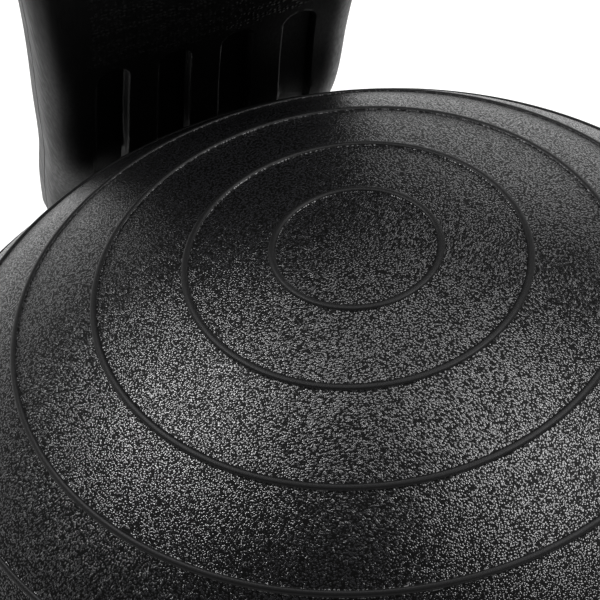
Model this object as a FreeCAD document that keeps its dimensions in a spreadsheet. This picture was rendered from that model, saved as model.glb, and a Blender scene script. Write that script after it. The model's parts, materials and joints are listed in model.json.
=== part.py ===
import FreeCAD
import Part
import Sketcher
import math
import os
from FreeCAD import Placement, Rotation, Vector

# Balance ball chair: an inflated ball in a ring-shaped base on four twin-wheel casters,
# with a moulded backrest on a bent steel bar.
# Millimetres and degrees. Origin on the floor under the ball's axis, +Z up, the sitter faces -Y.

SIZES = {
    # ball
    "ball_radius": 260.0,
    "ball_wall": 2.2,
    "rib_height": 1.5,
    "rib_width": 3.4,
    "first_rib": 8.2,
    "second_rib": 17.0,
    "rib_pitch": 10.0,
    "ribs_each_end": 8,
    "skin_chord": 10.0,
    "inner_chords": 14,
    "plug_hole_radius": 4.5,
    "plug_flange_radius": 9.0,
    "plug_flange_thickness": 1.6,
    "plug_length": 24.0,
    # height of the stack under the ball
    "caster_height": 65.0,
    "extender_height": 51.0,
    "seat_rise": 44.0,
    # ring of the base, whose outer radius is the ball's less the inset
    "ring_inset": 32.0,
    "ring_width": 64.0,
    "seat_width": 26.0,
    "ring_height": 68.0,
    "ring_draft": 5.0,
    "ring_edge": 4.0,
    "base_wall": 4.0,
    "plate_thickness": 3.0,
    "plates_per_half": 10,
    "flange_plate": 6.0,
    "bolt_radius": 4.0,
    "bolt_head_radius": 6.5,
    "bolt_head_height": 8.0,
    "nut_height": 6.5,
    "inner_bolt_inset": 20.0,
    "inner_bolt_rise": 14.0,
    "outer_bolt_inset": 21.0,
    "outer_bolt_rise": 34.0,
    # legs
    "leg_length": 100.0,
    "leg_width": 48.0,
    "leg_tip_height": 30.0,
    "leg_root_height": 60.0,
    "leg_rounding": 21.0,
    "leg_edge": 5.0,
    "leg_core_depth": 24.0,
    # extenders and caster stems
    "extender_top_radius": 21.0,
    "extender_foot_radius": 18.0,
    "extender_collar": 6.0,
    "stud_grip": 15.0,
    "stem_radius": 5.5,
    "stem_length": 22.0,
    "stem_flange_radius": 9.0,
    "stem_flange_thickness": 2.5,
    "grip_ring_wall": 0.8,
    "grip_ring_height": 6.0,
    "grip_ring_rise": 7.0,
    "bore_end_gap": 2.0,
    "pivot_radius": 4.0,
    "pivot_length": 18.0,
    # casters
    "wheel_radius": 25.0,
    "wheel_width": 17.6,
    "wheel_wall": 3.0,
    "wheel_gap": 0.7,
    "hub_radius": 6.5,
    "axle_radius": 3.0,
    "axle_end": 2.0,
    "caster_trail": 19.0,
    "web_thickness": 9.0,
    "hood_gap": 1.2,
    "hood_wall": 2.6,
    "boss_radius": 11.0,
    "hood_end": 20.5,
    "hood_skirt": 2.0,
    "axle_web_half": 11.0,
    "brake_pin_radius": 1.5,
    "brake_hub_radius": 4.0,
    "brake_stand_off": 6.4,
    "brake_pivot_angle": 30.6,
    "brake_lobe_radius": 3.0,
    "brake_width": 40.0,
    "brake_travel": 22.0,
    "brake_slot_gap": 3.2,
    "pedal_length": 18.0,
    "pedal_thickness": 3.0,
    # support bar
    "bar_width": 50.0,
    "bar_depth": 20.0,
    "bar_wall": 2.0,
    "bar_corner": 4.0,
    "bar_stand_off": 22.0,
    "bar_knee_rise": 74.0,
    "bar_bend_rise": 11.9,
    "bar_top_rise": 184.9,
    "bar_low_depth": 18.2,
    "bar_top_depth": 19.3,
    "bar_low_bend": 120.0,
    "bar_high_bend": 150.0,
    "socket_wall": 8.0,
    "socket_height": 62.0,
    "socket_floor": 6.0,
    "bar_bolt_rise": 22.0,
    "bar_bolt_pitch": 24.0,
    # backrest
    "back_depth": 20.0,
    "back_rear_depth": 17.0,
    "back_wall": 3.0,
    "back_edge": 15.0,
    "back_rear_edge": 10.0,
    "back_bottom": 68.0,
    "back_height": 379.0,
    "back_low_width": 154.0,
    "back_top_width": 192.0,
    "back_foot_corner": 30.0,
    "back_head_corner": 62.0,
    "back_head_flat": 112.0,
    "back_flare": 1.6,
    "back_levels": 16,
    "edge_chords": 4,
    "flute_width": 16.6,
    "flute_pitch": 31.6,
    "flute_depth": 4.0,
    "flute_top": 226.0,
    "flute_bottom": 112.0,
    "back_boss_radius": 6.0,
    "back_screw_radius": 2.0,
    "back_screw_head": 4.0,
    "back_screw_head_height": 2.5,
    "back_screw_grip": 8.0,
    "back_screw_bite": 10.0,
    "back_screw_low": 82.0,
    "back_screw_high": 77.0,
    "back_screw_inset": 15.0,
    "back_screw_spread": 4.0,
    "bar_screw_radius": 3.0,
    "bar_screw_head": 4.5,
    "bar_screw_head_height": 2.5,
    "bar_screw_bite": 4.0,
    "bar_boss_wall": 2.5,
    "bar_screw_low": 112.0,
    "bar_screw_high": 162.0,
    "saddle_thickness": 4.0,
    "saddle_below": 22.0,
    "saddle_above": 8.0,
    "saddle_side": 5.0,
    # fits
    "running_fit": 0.05,
    "seat_fit": 0.3,
    "bolt_clearance": 0.2,
}


doc = FreeCAD.newDocument("balance_ball_chair")
sheet = doc.addObject("Spreadsheet::Sheet", "sizes")
for row, (name, value) in enumerate(SIZES.items(), start=1):
    sheet.set("A%d" % row, name)
    sheet.set("B%d" % row, "%g" % value)
    sheet.setAlias("B%d" % row, name)
doc.recompute()


# A size: the number itself and the sheet formula that gives it.
class Dim:
    def __init__(self, value, text):
        self.value = float(value)
        self.text = text

    def join(self, other, sign, value):
        return Dim(value, "(%s %s %s)" % (self.text, sign, as_dim(other).text))

    def __add__(self, other):
        return self.join(other, "+", self.value + as_dim(other).value)

    def __sub__(self, other):
        return self.join(other, "-", self.value - as_dim(other).value)

    def __mul__(self, other):
        return self.join(other, "*", self.value * as_dim(other).value)

    def __truediv__(self, other):
        return self.join(other, "/", self.value / as_dim(other).value)

    def __radd__(self, other):
        return as_dim(other) + self

    def __rsub__(self, other):
        return as_dim(other) - self

    def __rmul__(self, other):
        return as_dim(other) * self

    def __neg__(self):
        return Dim(-self.value, "(0 - %s)" % self.text)


def as_dim(number):
    return number if isinstance(number, Dim) else Dim(number, "%.9g" % number)


def root(size):
    return Dim(math.sqrt(size.value), "sqrt(%s)" % size.text)


def cosine(angle):
    return Dim(math.cos(math.radians(angle.value)), "cos(%s)" % angle.text)


def sine(angle):
    return Dim(math.sin(math.radians(angle.value)), "sin(%s)" % angle.text)


class Sheet:
    def __getattr__(self, name):
        return Dim(SIZES[name], "sizes." + name)


s = Sheet()


# Drawing helpers

def bind(thing, prop, size):
    size = as_dim(size)
    thing.setExpression(prop, size.text)


def new_body(name):
    body = doc.addObject("PartDesign::Body", name)
    body.Label = name
    return body


def origin_plane(body, role):
    return [f for f in body.Origin.OriginFeatures if f.Role == role][0]


def new_sketch(body, role, name, shift=None, turn=None):
    sketch = body.newObject("Sketcher::SketchObject", name)
    sketch.AttachmentSupport = (origin_plane(body, role), [""])
    sketch.MapMode = "FlatFace"
    if shift is not None:
        bind(sketch, ".AttachmentOffset.Base.z", shift)
    if turn is not None:
        sketch.AttachmentOffset = Placement(Vector(0, 0, 0), Rotation(Vector(0, 1, 0), turn))
    return sketch


def fix_point(sketch, geo, pos, x, y):
    for axis, kind, size in ((-2, "DistanceX", as_dim(x)), (-1, "DistanceY", as_dim(y))):
        if size.text == "0":
            sketch.addConstraint(Sketcher.Constraint("PointOnObject", geo, pos, axis))
        else:
            index = sketch.addConstraint(Sketcher.Constraint(kind, -1, 1, geo, pos, size.value))
            sketch.setExpression("Constraints[%d]" % index, size.text)


def polygon(sketch, corners):
    points = [Vector(as_dim(x).value, as_dim(y).value, 0) for x, y in corners]
    count = len(points)
    first = sketch.GeometryCount
    for i in range(count):
        sketch.addGeometry(Part.LineSegment(points[i], points[(i + 1) % count]), False)
    for i in range(count):
        sketch.addConstraint(
            Sketcher.Constraint("Coincident", first + i, 2, first + (i + 1) % count, 1))
    for i in range(count):
        fix_point(sketch, first + i, 1, corners[i][0], corners[i][1])


def rectangle(sketch, x0, x1, y0, y1):
    polygon(sketch, [(x0, y0), (x1, y0), (x1, y1), (x0, y1)])


def pad(body, sketch, length, middle=False, other_way=False):
    feature = body.newObject("PartDesign::Pad", sketch.Name + "_pad")
    feature.Profile = sketch
    bind(feature, "Length", length)
    feature.Midplane = middle
    feature.Reversed = other_way
    sketch.Visibility = False
    return feature


def pocket(body, sketch, length, middle=False, other_way=False):
    feature = body.newObject("PartDesign::Pocket", sketch.Name + "_pocket")
    feature.Profile = sketch
    bind(feature, "Length", length)
    feature.Midplane = middle
    feature.Reversed = other_way
    sketch.Visibility = False
    return feature


def revolution(body, sketch, axis="V_Axis", angle=360.0, other_way=False):
    feature = body.newObject("PartDesign::Revolution", sketch.Name + "_turned")
    feature.Profile = sketch
    feature.ReferenceAxis = (sketch, [axis])
    feature.Angle = angle
    feature.Reversed = other_way
    sketch.Visibility = False
    return feature


def round_edges(body, base, radius, wanted):
    doc.recompute()
    names = ["Edge%d" % (i + 1) for i, edge in enumerate(base.Shape.Edges) if wanted(edge)]
    feature = body.newObject("PartDesign::Fillet", base.Name + "_rounded")
    feature.Base = (base, names)
    bind(feature, "Radius", radius)
    return feature


def is_upright(edge):
    ends = [v.Point for v in edge.Vertexes]
    return len(ends) == 2 and (ends[1] - ends[0]).cross(Vector(0, 0, 1)).Length < 1e-6


def cylinder(name, radius, height, place):
    feature = doc.addObject("Part::Cylinder", name)
    bind(feature, "Radius", radius)
    bind(feature, "Height", height)
    feature.Placement = place
    return feature


def box(name, x0, x1, y0, y1, z0, z1):
    feature = doc.addObject("Part::Box", name)
    bind(feature, "Length", as_dim(x1) - x0)
    bind(feature, "Width", as_dim(y1) - y0)
    bind(feature, "Height", as_dim(z1) - z0)
    bind(feature, ".Placement.Base.x", x0)
    bind(feature, ".Placement.Base.y", y0)
    bind(feature, ".Placement.Base.z", z0)
    return feature


def shift_to(feature, x, y, z):
    bind(feature, ".Placement.Base.x", x)
    bind(feature, ".Placement.Base.y", y)
    bind(feature, ".Placement.Base.z", z)
    return feature


def fuse(name, parts):
    feature = doc.addObject("Part::MultiFuse", name)
    feature.Shapes = parts
    feature.Refine = True
    return feature


def cut(name, base, tool):
    feature = doc.addObject("Part::Cut", name)
    feature.Base = base
    feature.Tool = tool
    return feature


def common(name, parts):
    feature = doc.addObject("Part::MultiCommon", name)
    feature.Shapes = parts
    return feature


def free_shape(name, shape):
    feature = doc.addObject("Part::Feature", name)
    feature.Shape = shape
    return feature


ALONG_Y = Rotation(Vector(1, 0, 0), -90)
TOWARDS_FRONT = Rotation(Vector(1, 0, 0), 90)
nodes = []


def keep(feature, label):
    feature.Label = label
    nodes.append(feature)
    return feature


# Heights and radii that several pieces share
base_bottom = s.caster_height + s.extender_height
ring_outer = s.ball_radius - s.ring_inset
ring_inner = ring_outer - s.ring_width
ring_shoulder = ring_outer - s.ring_draft
seat_radius = ring_inner + s.seat_width
seat_sphere = s.ball_radius + s.rib_height + s.seat_fit
ball_height = base_bottom + s.seat_rise + root(seat_sphere * seat_sphere - seat_radius * seat_radius)
ball_centre = Vector(0, 0, ball_height.value)
caster_circle = ring_outer + s.leg_length
leg_reach = caster_circle + s.leg_width / 2
bar_stand = ring_outer + s.bar_stand_off


def seat_height(radius):
    # height of the dished seat over the floor at a distance from the axis
    return ball_height - root(seat_sphere * seat_sphere - radius * radius)


# Ball

def ball_point(radius, angle):
    # angle from the lower pole
    turn = math.radians(angle)
    return ball_centre + Vector(radius * math.sin(turn), 0, -radius * math.cos(turn))


def rib_angles():
    low = [s.first_rib.value]
    for i in range(int(s.ribs_each_end.value) - 1):
        low.append(s.second_rib.value + i * s.rib_pitch.value)
    return low + [180.0 - angle for angle in reversed(low)]


def ball_skin():
    # the section is drawn with chords, a whole number to each gap between two ribs
    radius = s.ball_radius.value
    inside = radius - s.ball_wall.value
    foot = math.degrees(s.rib_width.value / 2 / radius)
    hole = math.degrees(math.asin(s.plug_hole_radius.value / radius))
    section = [ball_point(inside, hole * radius / inside), ball_point(radius, hole)]
    last = hole
    for angle in rib_angles() + [180.0 + foot]:
        steps = max(1, round((angle - foot - last) / s.skin_chord.value))
        for i in range(1, steps + 1):
            section.append(ball_point(radius, last + (angle - foot - last) * i / steps))
        if angle < 180.0:
            section.append(ball_point(radius + s.rib_height.value, angle))
            section.append(ball_point(radius, angle + foot))
        last = angle + foot
    chords = int(s.inner_chords.value)
    for i in range(chords):
        section.append(ball_point(inside, 180.0 - (180.0 - hole) * i / chords))
    section.append(section[0])
    face = Part.Face(Part.makePolygon(section))
    return face.revolve(ball_centre, Vector(0, 0, 1), 360)


keep(free_shape("ball", ball_skin()), "ball")

plug = new_body("air_plug")
plug_sketch = new_sketch(plug, "XZ_Plane", "plug_section")
plug_seat = ball_height - s.ball_radius - s.seat_fit
polygon(plug_sketch, [
    (0, plug_seat - s.plug_flange_thickness),
    (s.plug_flange_radius, plug_seat - s.plug_flange_thickness),
    (s.plug_flange_radius, plug_seat),
    (s.plug_hole_radius - s.seat_fit, plug_seat),
    (s.plug_hole_radius - s.seat_fit, plug_seat + s.plug_length),
    (0, plug_seat + s.plug_length)])
revolution(plug, plug_sketch)
keep(plug, "air_plug")


# Base, moulded in a front and a rear half

EDGE_MIDDLE = 0.29      # where a rounded edge's middle lies, as a share of its radius
UNDER_WALL = 1.5        # depth of the channel's roof under the seat, in walls


def ring_half(name, rear):
    body = new_body(name)
    section = new_sketch(body, "XZ_Plane", name + "_section")
    floor = base_bottom
    inner = ring_inner
    outer = ring_outer
    shoulder = ring_shoulder
    under_low = seat_height(inner + s.base_wall) - UNDER_WALL * s.base_wall
    polygon(section, [
        (outer, floor),
        (shoulder, floor + s.ring_height - s.ring_edge),
        (shoulder - s.ring_edge * EDGE_MIDDLE, floor + s.ring_height - s.ring_edge * EDGE_MIDDLE),
        (shoulder - s.ring_edge, floor + s.ring_height),
        (inner, floor + s.ring_height),
        (inner, floor),
        (inner + s.base_wall, floor),
        (inner + s.base_wall, under_low),
        (shoulder - s.base_wall, floor + s.ring_height - UNDER_WALL * s.base_wall),
        (outer - s.base_wall, floor)])
    revolution(body, section, angle=180.0, other_way=not rear)

    # stiffening plates inside the channel
    step = 180.0 / (s.plates_per_half.value + 1)
    plate = new_sketch(body, "XZ_Plane", name + "_plate", turn=step if rear else -step)
    plate_corners = [
        (inner + s.base_wall / 2, floor + s.base_wall),
        (outer - s.base_wall, floor + s.base_wall),
        (shoulder - s.base_wall, floor + s.ring_height - s.base_wall),
        (inner + s.base_wall / 2, under_low + s.base_wall / 2)]
    polygon(plate, plate_corners)
    plate_pad = pad(body, plate, s.plate_thickness, middle=True)
    plates = body.newObject("PartDesign::PolarPattern", name + "_plates")
    plates.Originals = [plate_pad]
    plates.Axis = (origin_axis(body, "Z_Axis"), [""])
    plates.Angle = 180.0 - 2 * step
    plates.Reversed = not rear
    bind(plates, "Occurrences", s.plates_per_half)
    body.Tip = plates

    # closing plates where the halves meet
    flange = new_sketch(body, "XZ_Plane", name + "_flange")
    for side in (1, -1):
        corners = [
            (inner + s.base_wall / 2, floor),
            (outer - s.base_wall / 2, floor),
            (shoulder - s.base_wall, floor + s.ring_height - s.base_wall),
            (inner + s.base_wall / 2, under_low + s.base_wall / 2)]
        polygon(flange, [(side * x, z) for x, z in corners])
    pad(body, flange, s.flange_plate, other_way=rear)
    return body


def origin_axis(body, role):
    return [f for f in body.Origin.OriginFeatures if f.Role == role][0]


def leg_form(name, heading):
    # drawn along +X, then turned to its heading
    body = new_body(name)
    side = new_sketch(body, "XZ_Plane", name + "_side")
    root_reach = ring_shoulder - s.base_wall / 2
    polygon(side, [
        (root_reach, base_bottom),
        (leg_reach, base_bottom),
        (leg_reach, base_bottom + s.leg_tip_height),
        (caster_circle - s.leg_width / 2, base_bottom + s.leg_tip_height),
        (root_reach, base_bottom + s.leg_root_height)])
    block = pad(body, side, s.leg_width, middle=True)
    tip = leg_reach.value
    rounded = round_edges(body, block, s.leg_rounding,
                          lambda e: is_upright(e) and abs(e.Vertexes[0].X - tip) < 0.01)
    low = base_bottom.value + s.leg_tip_height.value - 0.01
    round_edges(body, rounded, s.leg_edge,
                lambda e: e.BoundBox.ZMin > low and not crosses(e, root_reach.value))
    core = new_sketch(body, "XY_Plane", name + "_core", shift=base_bottom)
    half = s.leg_width / 2 - s.base_wall
    rectangle(core, ring_outer + s.base_wall, caster_circle - s.extender_top_radius, -half, half)
    pocket(body, core, s.leg_core_depth, other_way=True)
    body.Placement = Placement(Vector(0, 0, 0), Rotation(Vector(0, 0, 1), heading))
    return body


def crosses(edge, x):
    # true for a straight edge across the leg, and for what lies inside the ring's wall
    return edge.BoundBox.XLength < 0.01 or edge.BoundBox.XMax < x + 1


stem_bore_radius = s.stem_radius + s.running_fit


def across(angle, radius):
    turn = math.radians(angle)
    return Vector(radius * math.cos(turn), radius * math.sin(turn), 0)


HEADINGS = {"front_left": 225.0, "front_right": 315.0, "rear_left": 135.0, "rear_right": 45.0}


def stem_bore(name, heading):
    spot = across(heading, caster_circle.value)
    spot.z = base_bottom.value - s.bore_end_gap.value
    return cylinder(name, stem_bore_radius, s.stem_length + 2 * s.bore_end_gap,
                    Placement(spot, Rotation()))


def flange_bolt_spots():
    spots = []
    for side in (-1, 1):
        spots.append((side * (ring_inner + s.inner_bolt_inset), base_bottom + s.inner_bolt_rise))
        spots.append((side * (ring_outer - s.outer_bolt_inset), base_bottom + s.outer_bolt_rise))
    return spots


def bolt_bores(name, spots, reach):
    bores = []
    for i, (x, z) in enumerate(spots):
        bore = cylinder("%s_%d" % (name, i), s.bolt_radius + s.bolt_clearance, 2 * reach,
                        Placement(Vector(0, 0, 0), ALONG_Y))
        bores.append(shift_to(bore, x, -reach, z))
    return bores


bar_half_width = s.bar_width / 2
bar_front = bar_stand - s.bar_depth / 2
bar_rear = bar_stand + s.bar_depth / 2
bar_foot = base_bottom + s.socket_floor
socket_back = bar_rear + s.seat_fit + s.socket_wall
channel_back = ring_shoulder - s.base_wall


def bar_bolt_spots():
    first = base_bottom + s.bar_bolt_rise
    return [(as_dim(0), first), (as_dim(0), first + s.bar_bolt_pitch)]


def socket_form():
    # the pocket at the back that the support bar stands in
    body = new_body("socket_form")
    plan = new_sketch(body, "XY_Plane", "socket_plan", shift=base_bottom)
    half = bar_half_width + s.seat_fit + s.socket_wall
    rectangle(plan, -half, half, channel_back, socket_back)
    block = pad(body, plan, s.socket_height)
    round_edges(body, block, s.socket_wall,
                lambda e: is_upright(e) and abs(e.Vertexes[0].Y - socket_back.value) < 0.01)
    mouth = new_sketch(body, "XY_Plane", "socket_mouth", shift=base_bottom + s.socket_height)
    rectangle(mouth, -(bar_half_width + s.seat_fit), bar_half_width + s.seat_fit,
              bar_front - s.seat_fit, bar_rear + s.seat_fit)
    pocket(body, mouth, s.socket_height - s.socket_floor)
    return body


def base_half(label, rear, headings):
    parts = [ring_half(label + "_ring", rear)]
    for heading in headings:
        parts.append(leg_form("%s_leg_%d" % (label, heading), heading))
    if rear:
        parts.append(socket_form())
    whole = fuse(label + "_whole", parts)
    dish = doc.addObject("Part::Sphere", label + "_dish")
    bind(dish, "Radius", seat_sphere)
    bind(dish, ".Placement.Base.z", ball_height)
    tools = [dish]
    for heading in headings:
        tools.append(stem_bore("%s_stem_bore_%d" % (label, heading), heading))
    tools.extend(bolt_bores(label + "_bolt_bore", flange_bolt_spots(), 2 * s.flange_plate))
    if rear:
        for i, (x, z) in enumerate(bar_bolt_spots()):
            bore = cylinder("bar_bore_%d" % i, s.bolt_radius + s.bolt_clearance,
                            socket_back - channel_back + 2 * s.base_wall,
                            Placement(Vector(0, 0, 0), ALONG_Y))
            tools.append(shift_to(bore, x, channel_back - s.base_wall, z))
    return keep(cut(label, whole, fuse(label + "_tools", tools)), label)


base_half("base_front", False, (225, 315))
base_half("base_rear", True, (45, 135))


# Bolts, nuts and screws

NUT_SPREAD = 1.85       # corner radius of a nut, in bolt radii
NUT_STANDOUT = 2.0      # how far a bolt's end stands out of its nut


def turned_bolt(name, x, y_head, z, shank, radius, head_radius, head_height, turn=ALONG_Y):
    # a round-head bolt with its head's underside at y_head, pointing along the turned Z axis
    body = new_body(name)
    section = new_sketch(body, "XZ_Plane", name + "_section")
    polygon(section, [
        (0, -head_height), (head_radius, -head_height), (head_radius, 0),
        (radius, 0), (radius, shank), (0, shank)])
    revolution(body, section)
    body.Placement = Placement(Vector(0, 0, 0), turn)
    return shift_to(body, x, y_head, z)


def hex_nut(name, x, y, z, bore, height):
    prism = doc.addObject("Part::Prism", name + "_hex")
    prism.Polygon = 6
    bind(prism, "Circumradius", bore * NUT_SPREAD)
    bind(prism, "Height", height)
    hole = cylinder(name + "_thread", bore, height, Placement())
    nut = cut(name, prism, hole)
    nut.Placement = Placement(Vector(0, 0, 0), ALONG_Y)
    return shift_to(nut, x, y, z)


def group(name, parts):
    feature = doc.addObject("Part::Compound", name)
    feature.Links = parts
    return keep(feature, name)


joint_shank = 2 * s.flange_plate + s.nut_height + NUT_STANDOUT
group("base_bolts", [
    turned_bolt("base_bolt_%d" % i, x, -s.flange_plate, z, joint_shank,
                s.bolt_radius, s.bolt_head_radius, s.bolt_head_height)
    for i, (x, z) in enumerate(flange_bolt_spots())])
group("base_nuts", [
    hex_nut("base_nut_%d" % i, x, s.flange_plate, z, s.bolt_radius, s.nut_height)
    for i, (x, z) in enumerate(flange_bolt_spots())])

bar_shank = socket_back - channel_back + s.nut_height + NUT_STANDOUT
group("bar_bolts", [
    turned_bolt("bar_bolt_%d" % i, x, socket_back, z, bar_shank,
                s.bolt_radius, s.bolt_head_radius, s.bolt_head_height, TOWARDS_FRONT)
    for i, (x, z) in enumerate(bar_bolt_spots())])
group("bar_nuts", [
    hex_nut("bar_nut_%d" % i, x, channel_back - s.nut_height, z, s.bolt_radius, s.nut_height)
    for i, (x, z) in enumerate(bar_bolt_spots())])


# The backrest's face, seen from the side

# degrees over the level of the ball's centre and clearance from
# the ball, then millimetres up and forwards from the last of these
HUG = ((12.7, 2.0), (18.8, 2.0), (24.0, 2.0), (32.8, 2.2), (41.3, 15.8), (48.6, 33.2))
LEAN = ((41.0, 11.0), (84.0, 14.5), (139.0, 9.0), (189.0, -1.0), (246.0, -13.0))


def back_spline():
    reach = s.ball_radius.value + s.rib_height.value
    points = []
    for tilt, gap in HUG:
        turn = math.radians(tilt)
        points.append(((reach + gap) * math.cos(turn), (reach + gap) * math.sin(turn)))
    waist_y, waist_z = points[-1]
    points += [(waist_y - forwards, waist_z + up) for up, forwards in LEAN]
    curve = Part.BSplineCurve()
    curve.interpolate([Vector(0, y, ball_height.value + z) for y, z in points])
    return curve


back_curve = back_spline()


def back_y(height, depth):
    # the place of a face of the backrest at a height over the ball's centre
    low, high = back_curve.FirstParameter, back_curve.LastParameter
    for _ in range(40):
        middle = (low + high) / 2
        if back_curve.value(middle).z < ball_height.value + height:
            low = middle
        else:
            high = middle
    return back_curve.value(low).y + depth


# Support bar: a flattened steel tube bent to pass behind the ball

def bar_path():
    # straight runs joined by tangent arcs, in the plane of symmetry; the upper run lies in the
    # backrest, at one depth behind its face at the lower screw and at another at the bar's end
    low_rise, top_rise = s.bar_screw_low.value, s.bar_top_rise.value
    low = Vector(0, back_y(low_rise, s.bar_low_depth.value), ball_height.value + low_rise)
    top = Vector(0, back_y(top_rise, s.bar_top_depth.value), ball_height.value + top_rise)
    bend = low + (low - top) * ((low_rise - s.bar_bend_rise.value) / (top_rise - low_rise))
    corners = [
        (Vector(0, bar_stand.value, bar_foot.value), None),
        (Vector(0, bar_stand.value, base_bottom.value + s.bar_knee_rise.value),
         s.bar_low_bend.value),
        (bend, s.bar_high_bend.value),
        (top, None)]
    edges = []
    start = corners[0][0]
    for i in (1, 2):
        here, bend = corners[i]
        towards = (corners[i - 1][0] - here).normalize()
        onwards = (corners[i + 1][0] - here).normalize()
        half = towards.getAngle(onwards) / 2
        reach = bend / math.tan(half)
        middle = (towards + onwards).normalize()
        centre = here + middle * (bend / math.sin(half))
        first = here + towards * reach
        last = here + onwards * reach
        edges.append(Part.LineSegment(start, first).toShape())
        edges.append(Part.Arc(first, centre - middle * bend, last).toShape())
        start = last
    edges.append(Part.LineSegment(start, corners[3][0]).toShape())
    return edges


def bar_section(inset):
    # a flat oblong tube with bevelled corners
    half_x = s.bar_width.value / 2 - inset
    half_y = s.bar_depth.value / 2 - inset
    bevel = s.bar_corner.value - inset * (2 - math.sqrt(2))
    quarter = [(half_x, half_y - bevel), (half_x - bevel, half_y)]
    corners = quarter + [(-x, y) for x, y in reversed(quarter)]
    corners += [(-x, -y) for x, y in corners]
    points = [Vector(x, bar_stand.value + y, bar_foot.value) for x, y in corners]
    return Part.makePolygon(points + points[:1])


def bar_solid(inset):
    spine = Part.Wire(bar_path())
    return spine.makePipeShell([bar_section(inset)], True, False)


bar_outer = free_shape("bar_outer", bar_solid(0.0))
bar_inner = free_shape("bar_inner", bar_solid(s.bar_wall.value))
bar_tools = [bar_inner]
for number, (spot_x, spot_z) in enumerate(bar_bolt_spots()):
    hole = cylinder("bar_hole_%d" % number, s.bolt_radius + s.bolt_clearance, 2 * s.bar_depth,
                    Placement(Vector(0, 0, 0), ALONG_Y))
    bar_tools.append(shift_to(hole, spot_x, bar_stand - s.bar_depth, spot_z))


# Backrest: a fluted front shell and a plain rear shell

parting = s.back_depth.value
rear_face = parting + s.back_rear_depth.value
wall = s.back_wall.value
back_foot = s.back_bottom.value
back_head = back_foot + s.back_height.value
cutting_length = 2 * s.ball_radius.value


def half_width(height):
    # front view: flared sides, round lower corners and a domed head
    rise = (height - back_foot) / s.back_height.value
    low = s.back_low_width.value / 2
    half = low + (s.back_top_width.value / 2 - low) * rise ** s.back_flare.value
    foot = s.back_foot_corner.value
    below = foot - (height - back_foot)
    if below > 0:
        half -= foot - math.sqrt(foot ** 2 - min(below, foot) ** 2)
    into_head = 1 - (back_head - height) / s.back_head_corner.value
    if into_head > 0:
        flat = s.back_head_flat.value / 2
        half = flat + (half - flat) * math.sqrt(1 - min(into_head, 1) ** 2)
    return half


def fallen(inside, radius):
    # how far a rounded edge falls back at a distance inside it
    return radius - math.sqrt(radius ** 2 - (radius - min(inside, radius)) ** 2)


def levels(inset):
    # heights of the sections, close together where the foot and the head are rounded; both
    # shells use the same ones, so that they meet face to face
    low, high = back_foot + inset, back_head - inset
    edge = s.back_edge.value - inset
    chords = int(s.edge_chords.value)
    ends = [edge * (1 - math.cos(math.pi / 2 * i / chords)) for i in range(chords + 1)]
    count = int(s.back_levels.value)
    first, last = low + edge, high - edge
    middle = [first + (last - first) * i / count for i in range(1, count)]
    return [low + e for e in ends] + middle + [high - e for e in reversed(ends)]


def back_block(inset, face, back, edge):
    # one shell's form, lofted through level sections: a face with a rounded rim, a flat back
    towards = 1 if back > face else -1
    chords = int(s.edge_chords.value)
    sections = []
    for height in levels(inset):
        half = half_width(height) - inset
        rim = min(height - back_foot, back_head - height) - inset
        right = [(half, back)]
        for i in range(chords + 1):
            in_side = edge * (1 - math.cos(math.pi / 2 * i / chords))
            fall = fallen(min(in_side, rim), edge)
            right.append((half - in_side, face + towards * fall))
        outline = right + [(-x, depth) for x, depth in reversed(right)]
        base = back_y(height, 0.0)
        points = [Vector(x, base + depth, ball_height.value + height) for x, depth in outline]
        sections.append(Part.makePolygon(points + points[:1]))
    return Part.makeLoft(sections, True, True)


def back_slab(front_depth, rear_depth):
    # everything between two depths behind the face, drawn with the same level chords
    heights = levels(0.0)
    front = [Vector(0, back_y(h, front_depth), ball_height.value + h) for h in heights]
    rear = [Vector(0, back_y(h, rear_depth), ball_height.value + h) for h in reversed(heights)]
    side = Part.Face(Part.makePolygon(front + rear + front[:1]))
    half = s.back_top_width.value
    side.translate(Vector(-half, 0, 0))
    return side.extrude(Vector(2 * half, 0, 0))


def flute_slot(x, grow):
    # one flute seen from the front: a long slot with full-round ends
    half = s.flute_width.value / 2 + grow
    z0 = ball_height.value + s.flute_bottom.value + s.flute_width.value / 2
    z1 = ball_height.value + s.flute_top.value - s.flute_width.value / 2
    left, right = x - half, x + half
    edges = [
        Part.LineSegment(Vector(left, 0, z1), Vector(left, 0, z0)).toShape(),
        Part.Arc(Vector(left, 0, z0), Vector(x, 0, z0 - half), Vector(right, 0, z0)).toShape(),
        Part.LineSegment(Vector(right, 0, z0), Vector(right, 0, z1)).toShape(),
        Part.Arc(Vector(right, 0, z1), Vector(x, 0, z1 + half), Vector(left, 0, z1)).toShape()]
    return Part.Face(Part.Wire(edges)).extrude(Vector(0, cutting_length, 0))


flute_places = [(i - 1.5) * s.flute_pitch.value for i in range(4)]
cover = bar_solid(-s.seat_fit.value)


def post(x, height, radius, y_start=0.0):
    # a round bar from a place to well behind the backrest
    spot = Vector(x, y_start, ball_height.value + height)
    return Part.makeCylinder(radius.value, cutting_length - y_start, spot, Vector(0, 1, 0))


def back_screw_spots():
    low = back_foot + s.back_screw_low.value
    high = back_head - s.back_screw_high.value
    near = s.back_low_width.value / 2 - s.back_screw_inset.value
    far = near + s.back_screw_spread.value
    return [(-near, low), (near, low), (-far, high), (far, high)]


def bar_screw_spots():
    return [(0.0, s.bar_screw_low.value), (0.0, s.bar_screw_high.value)]


def bar_screw_seat(height):
    return back_y(height, rear_face - s.bar_screw_head_height.value)


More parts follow.
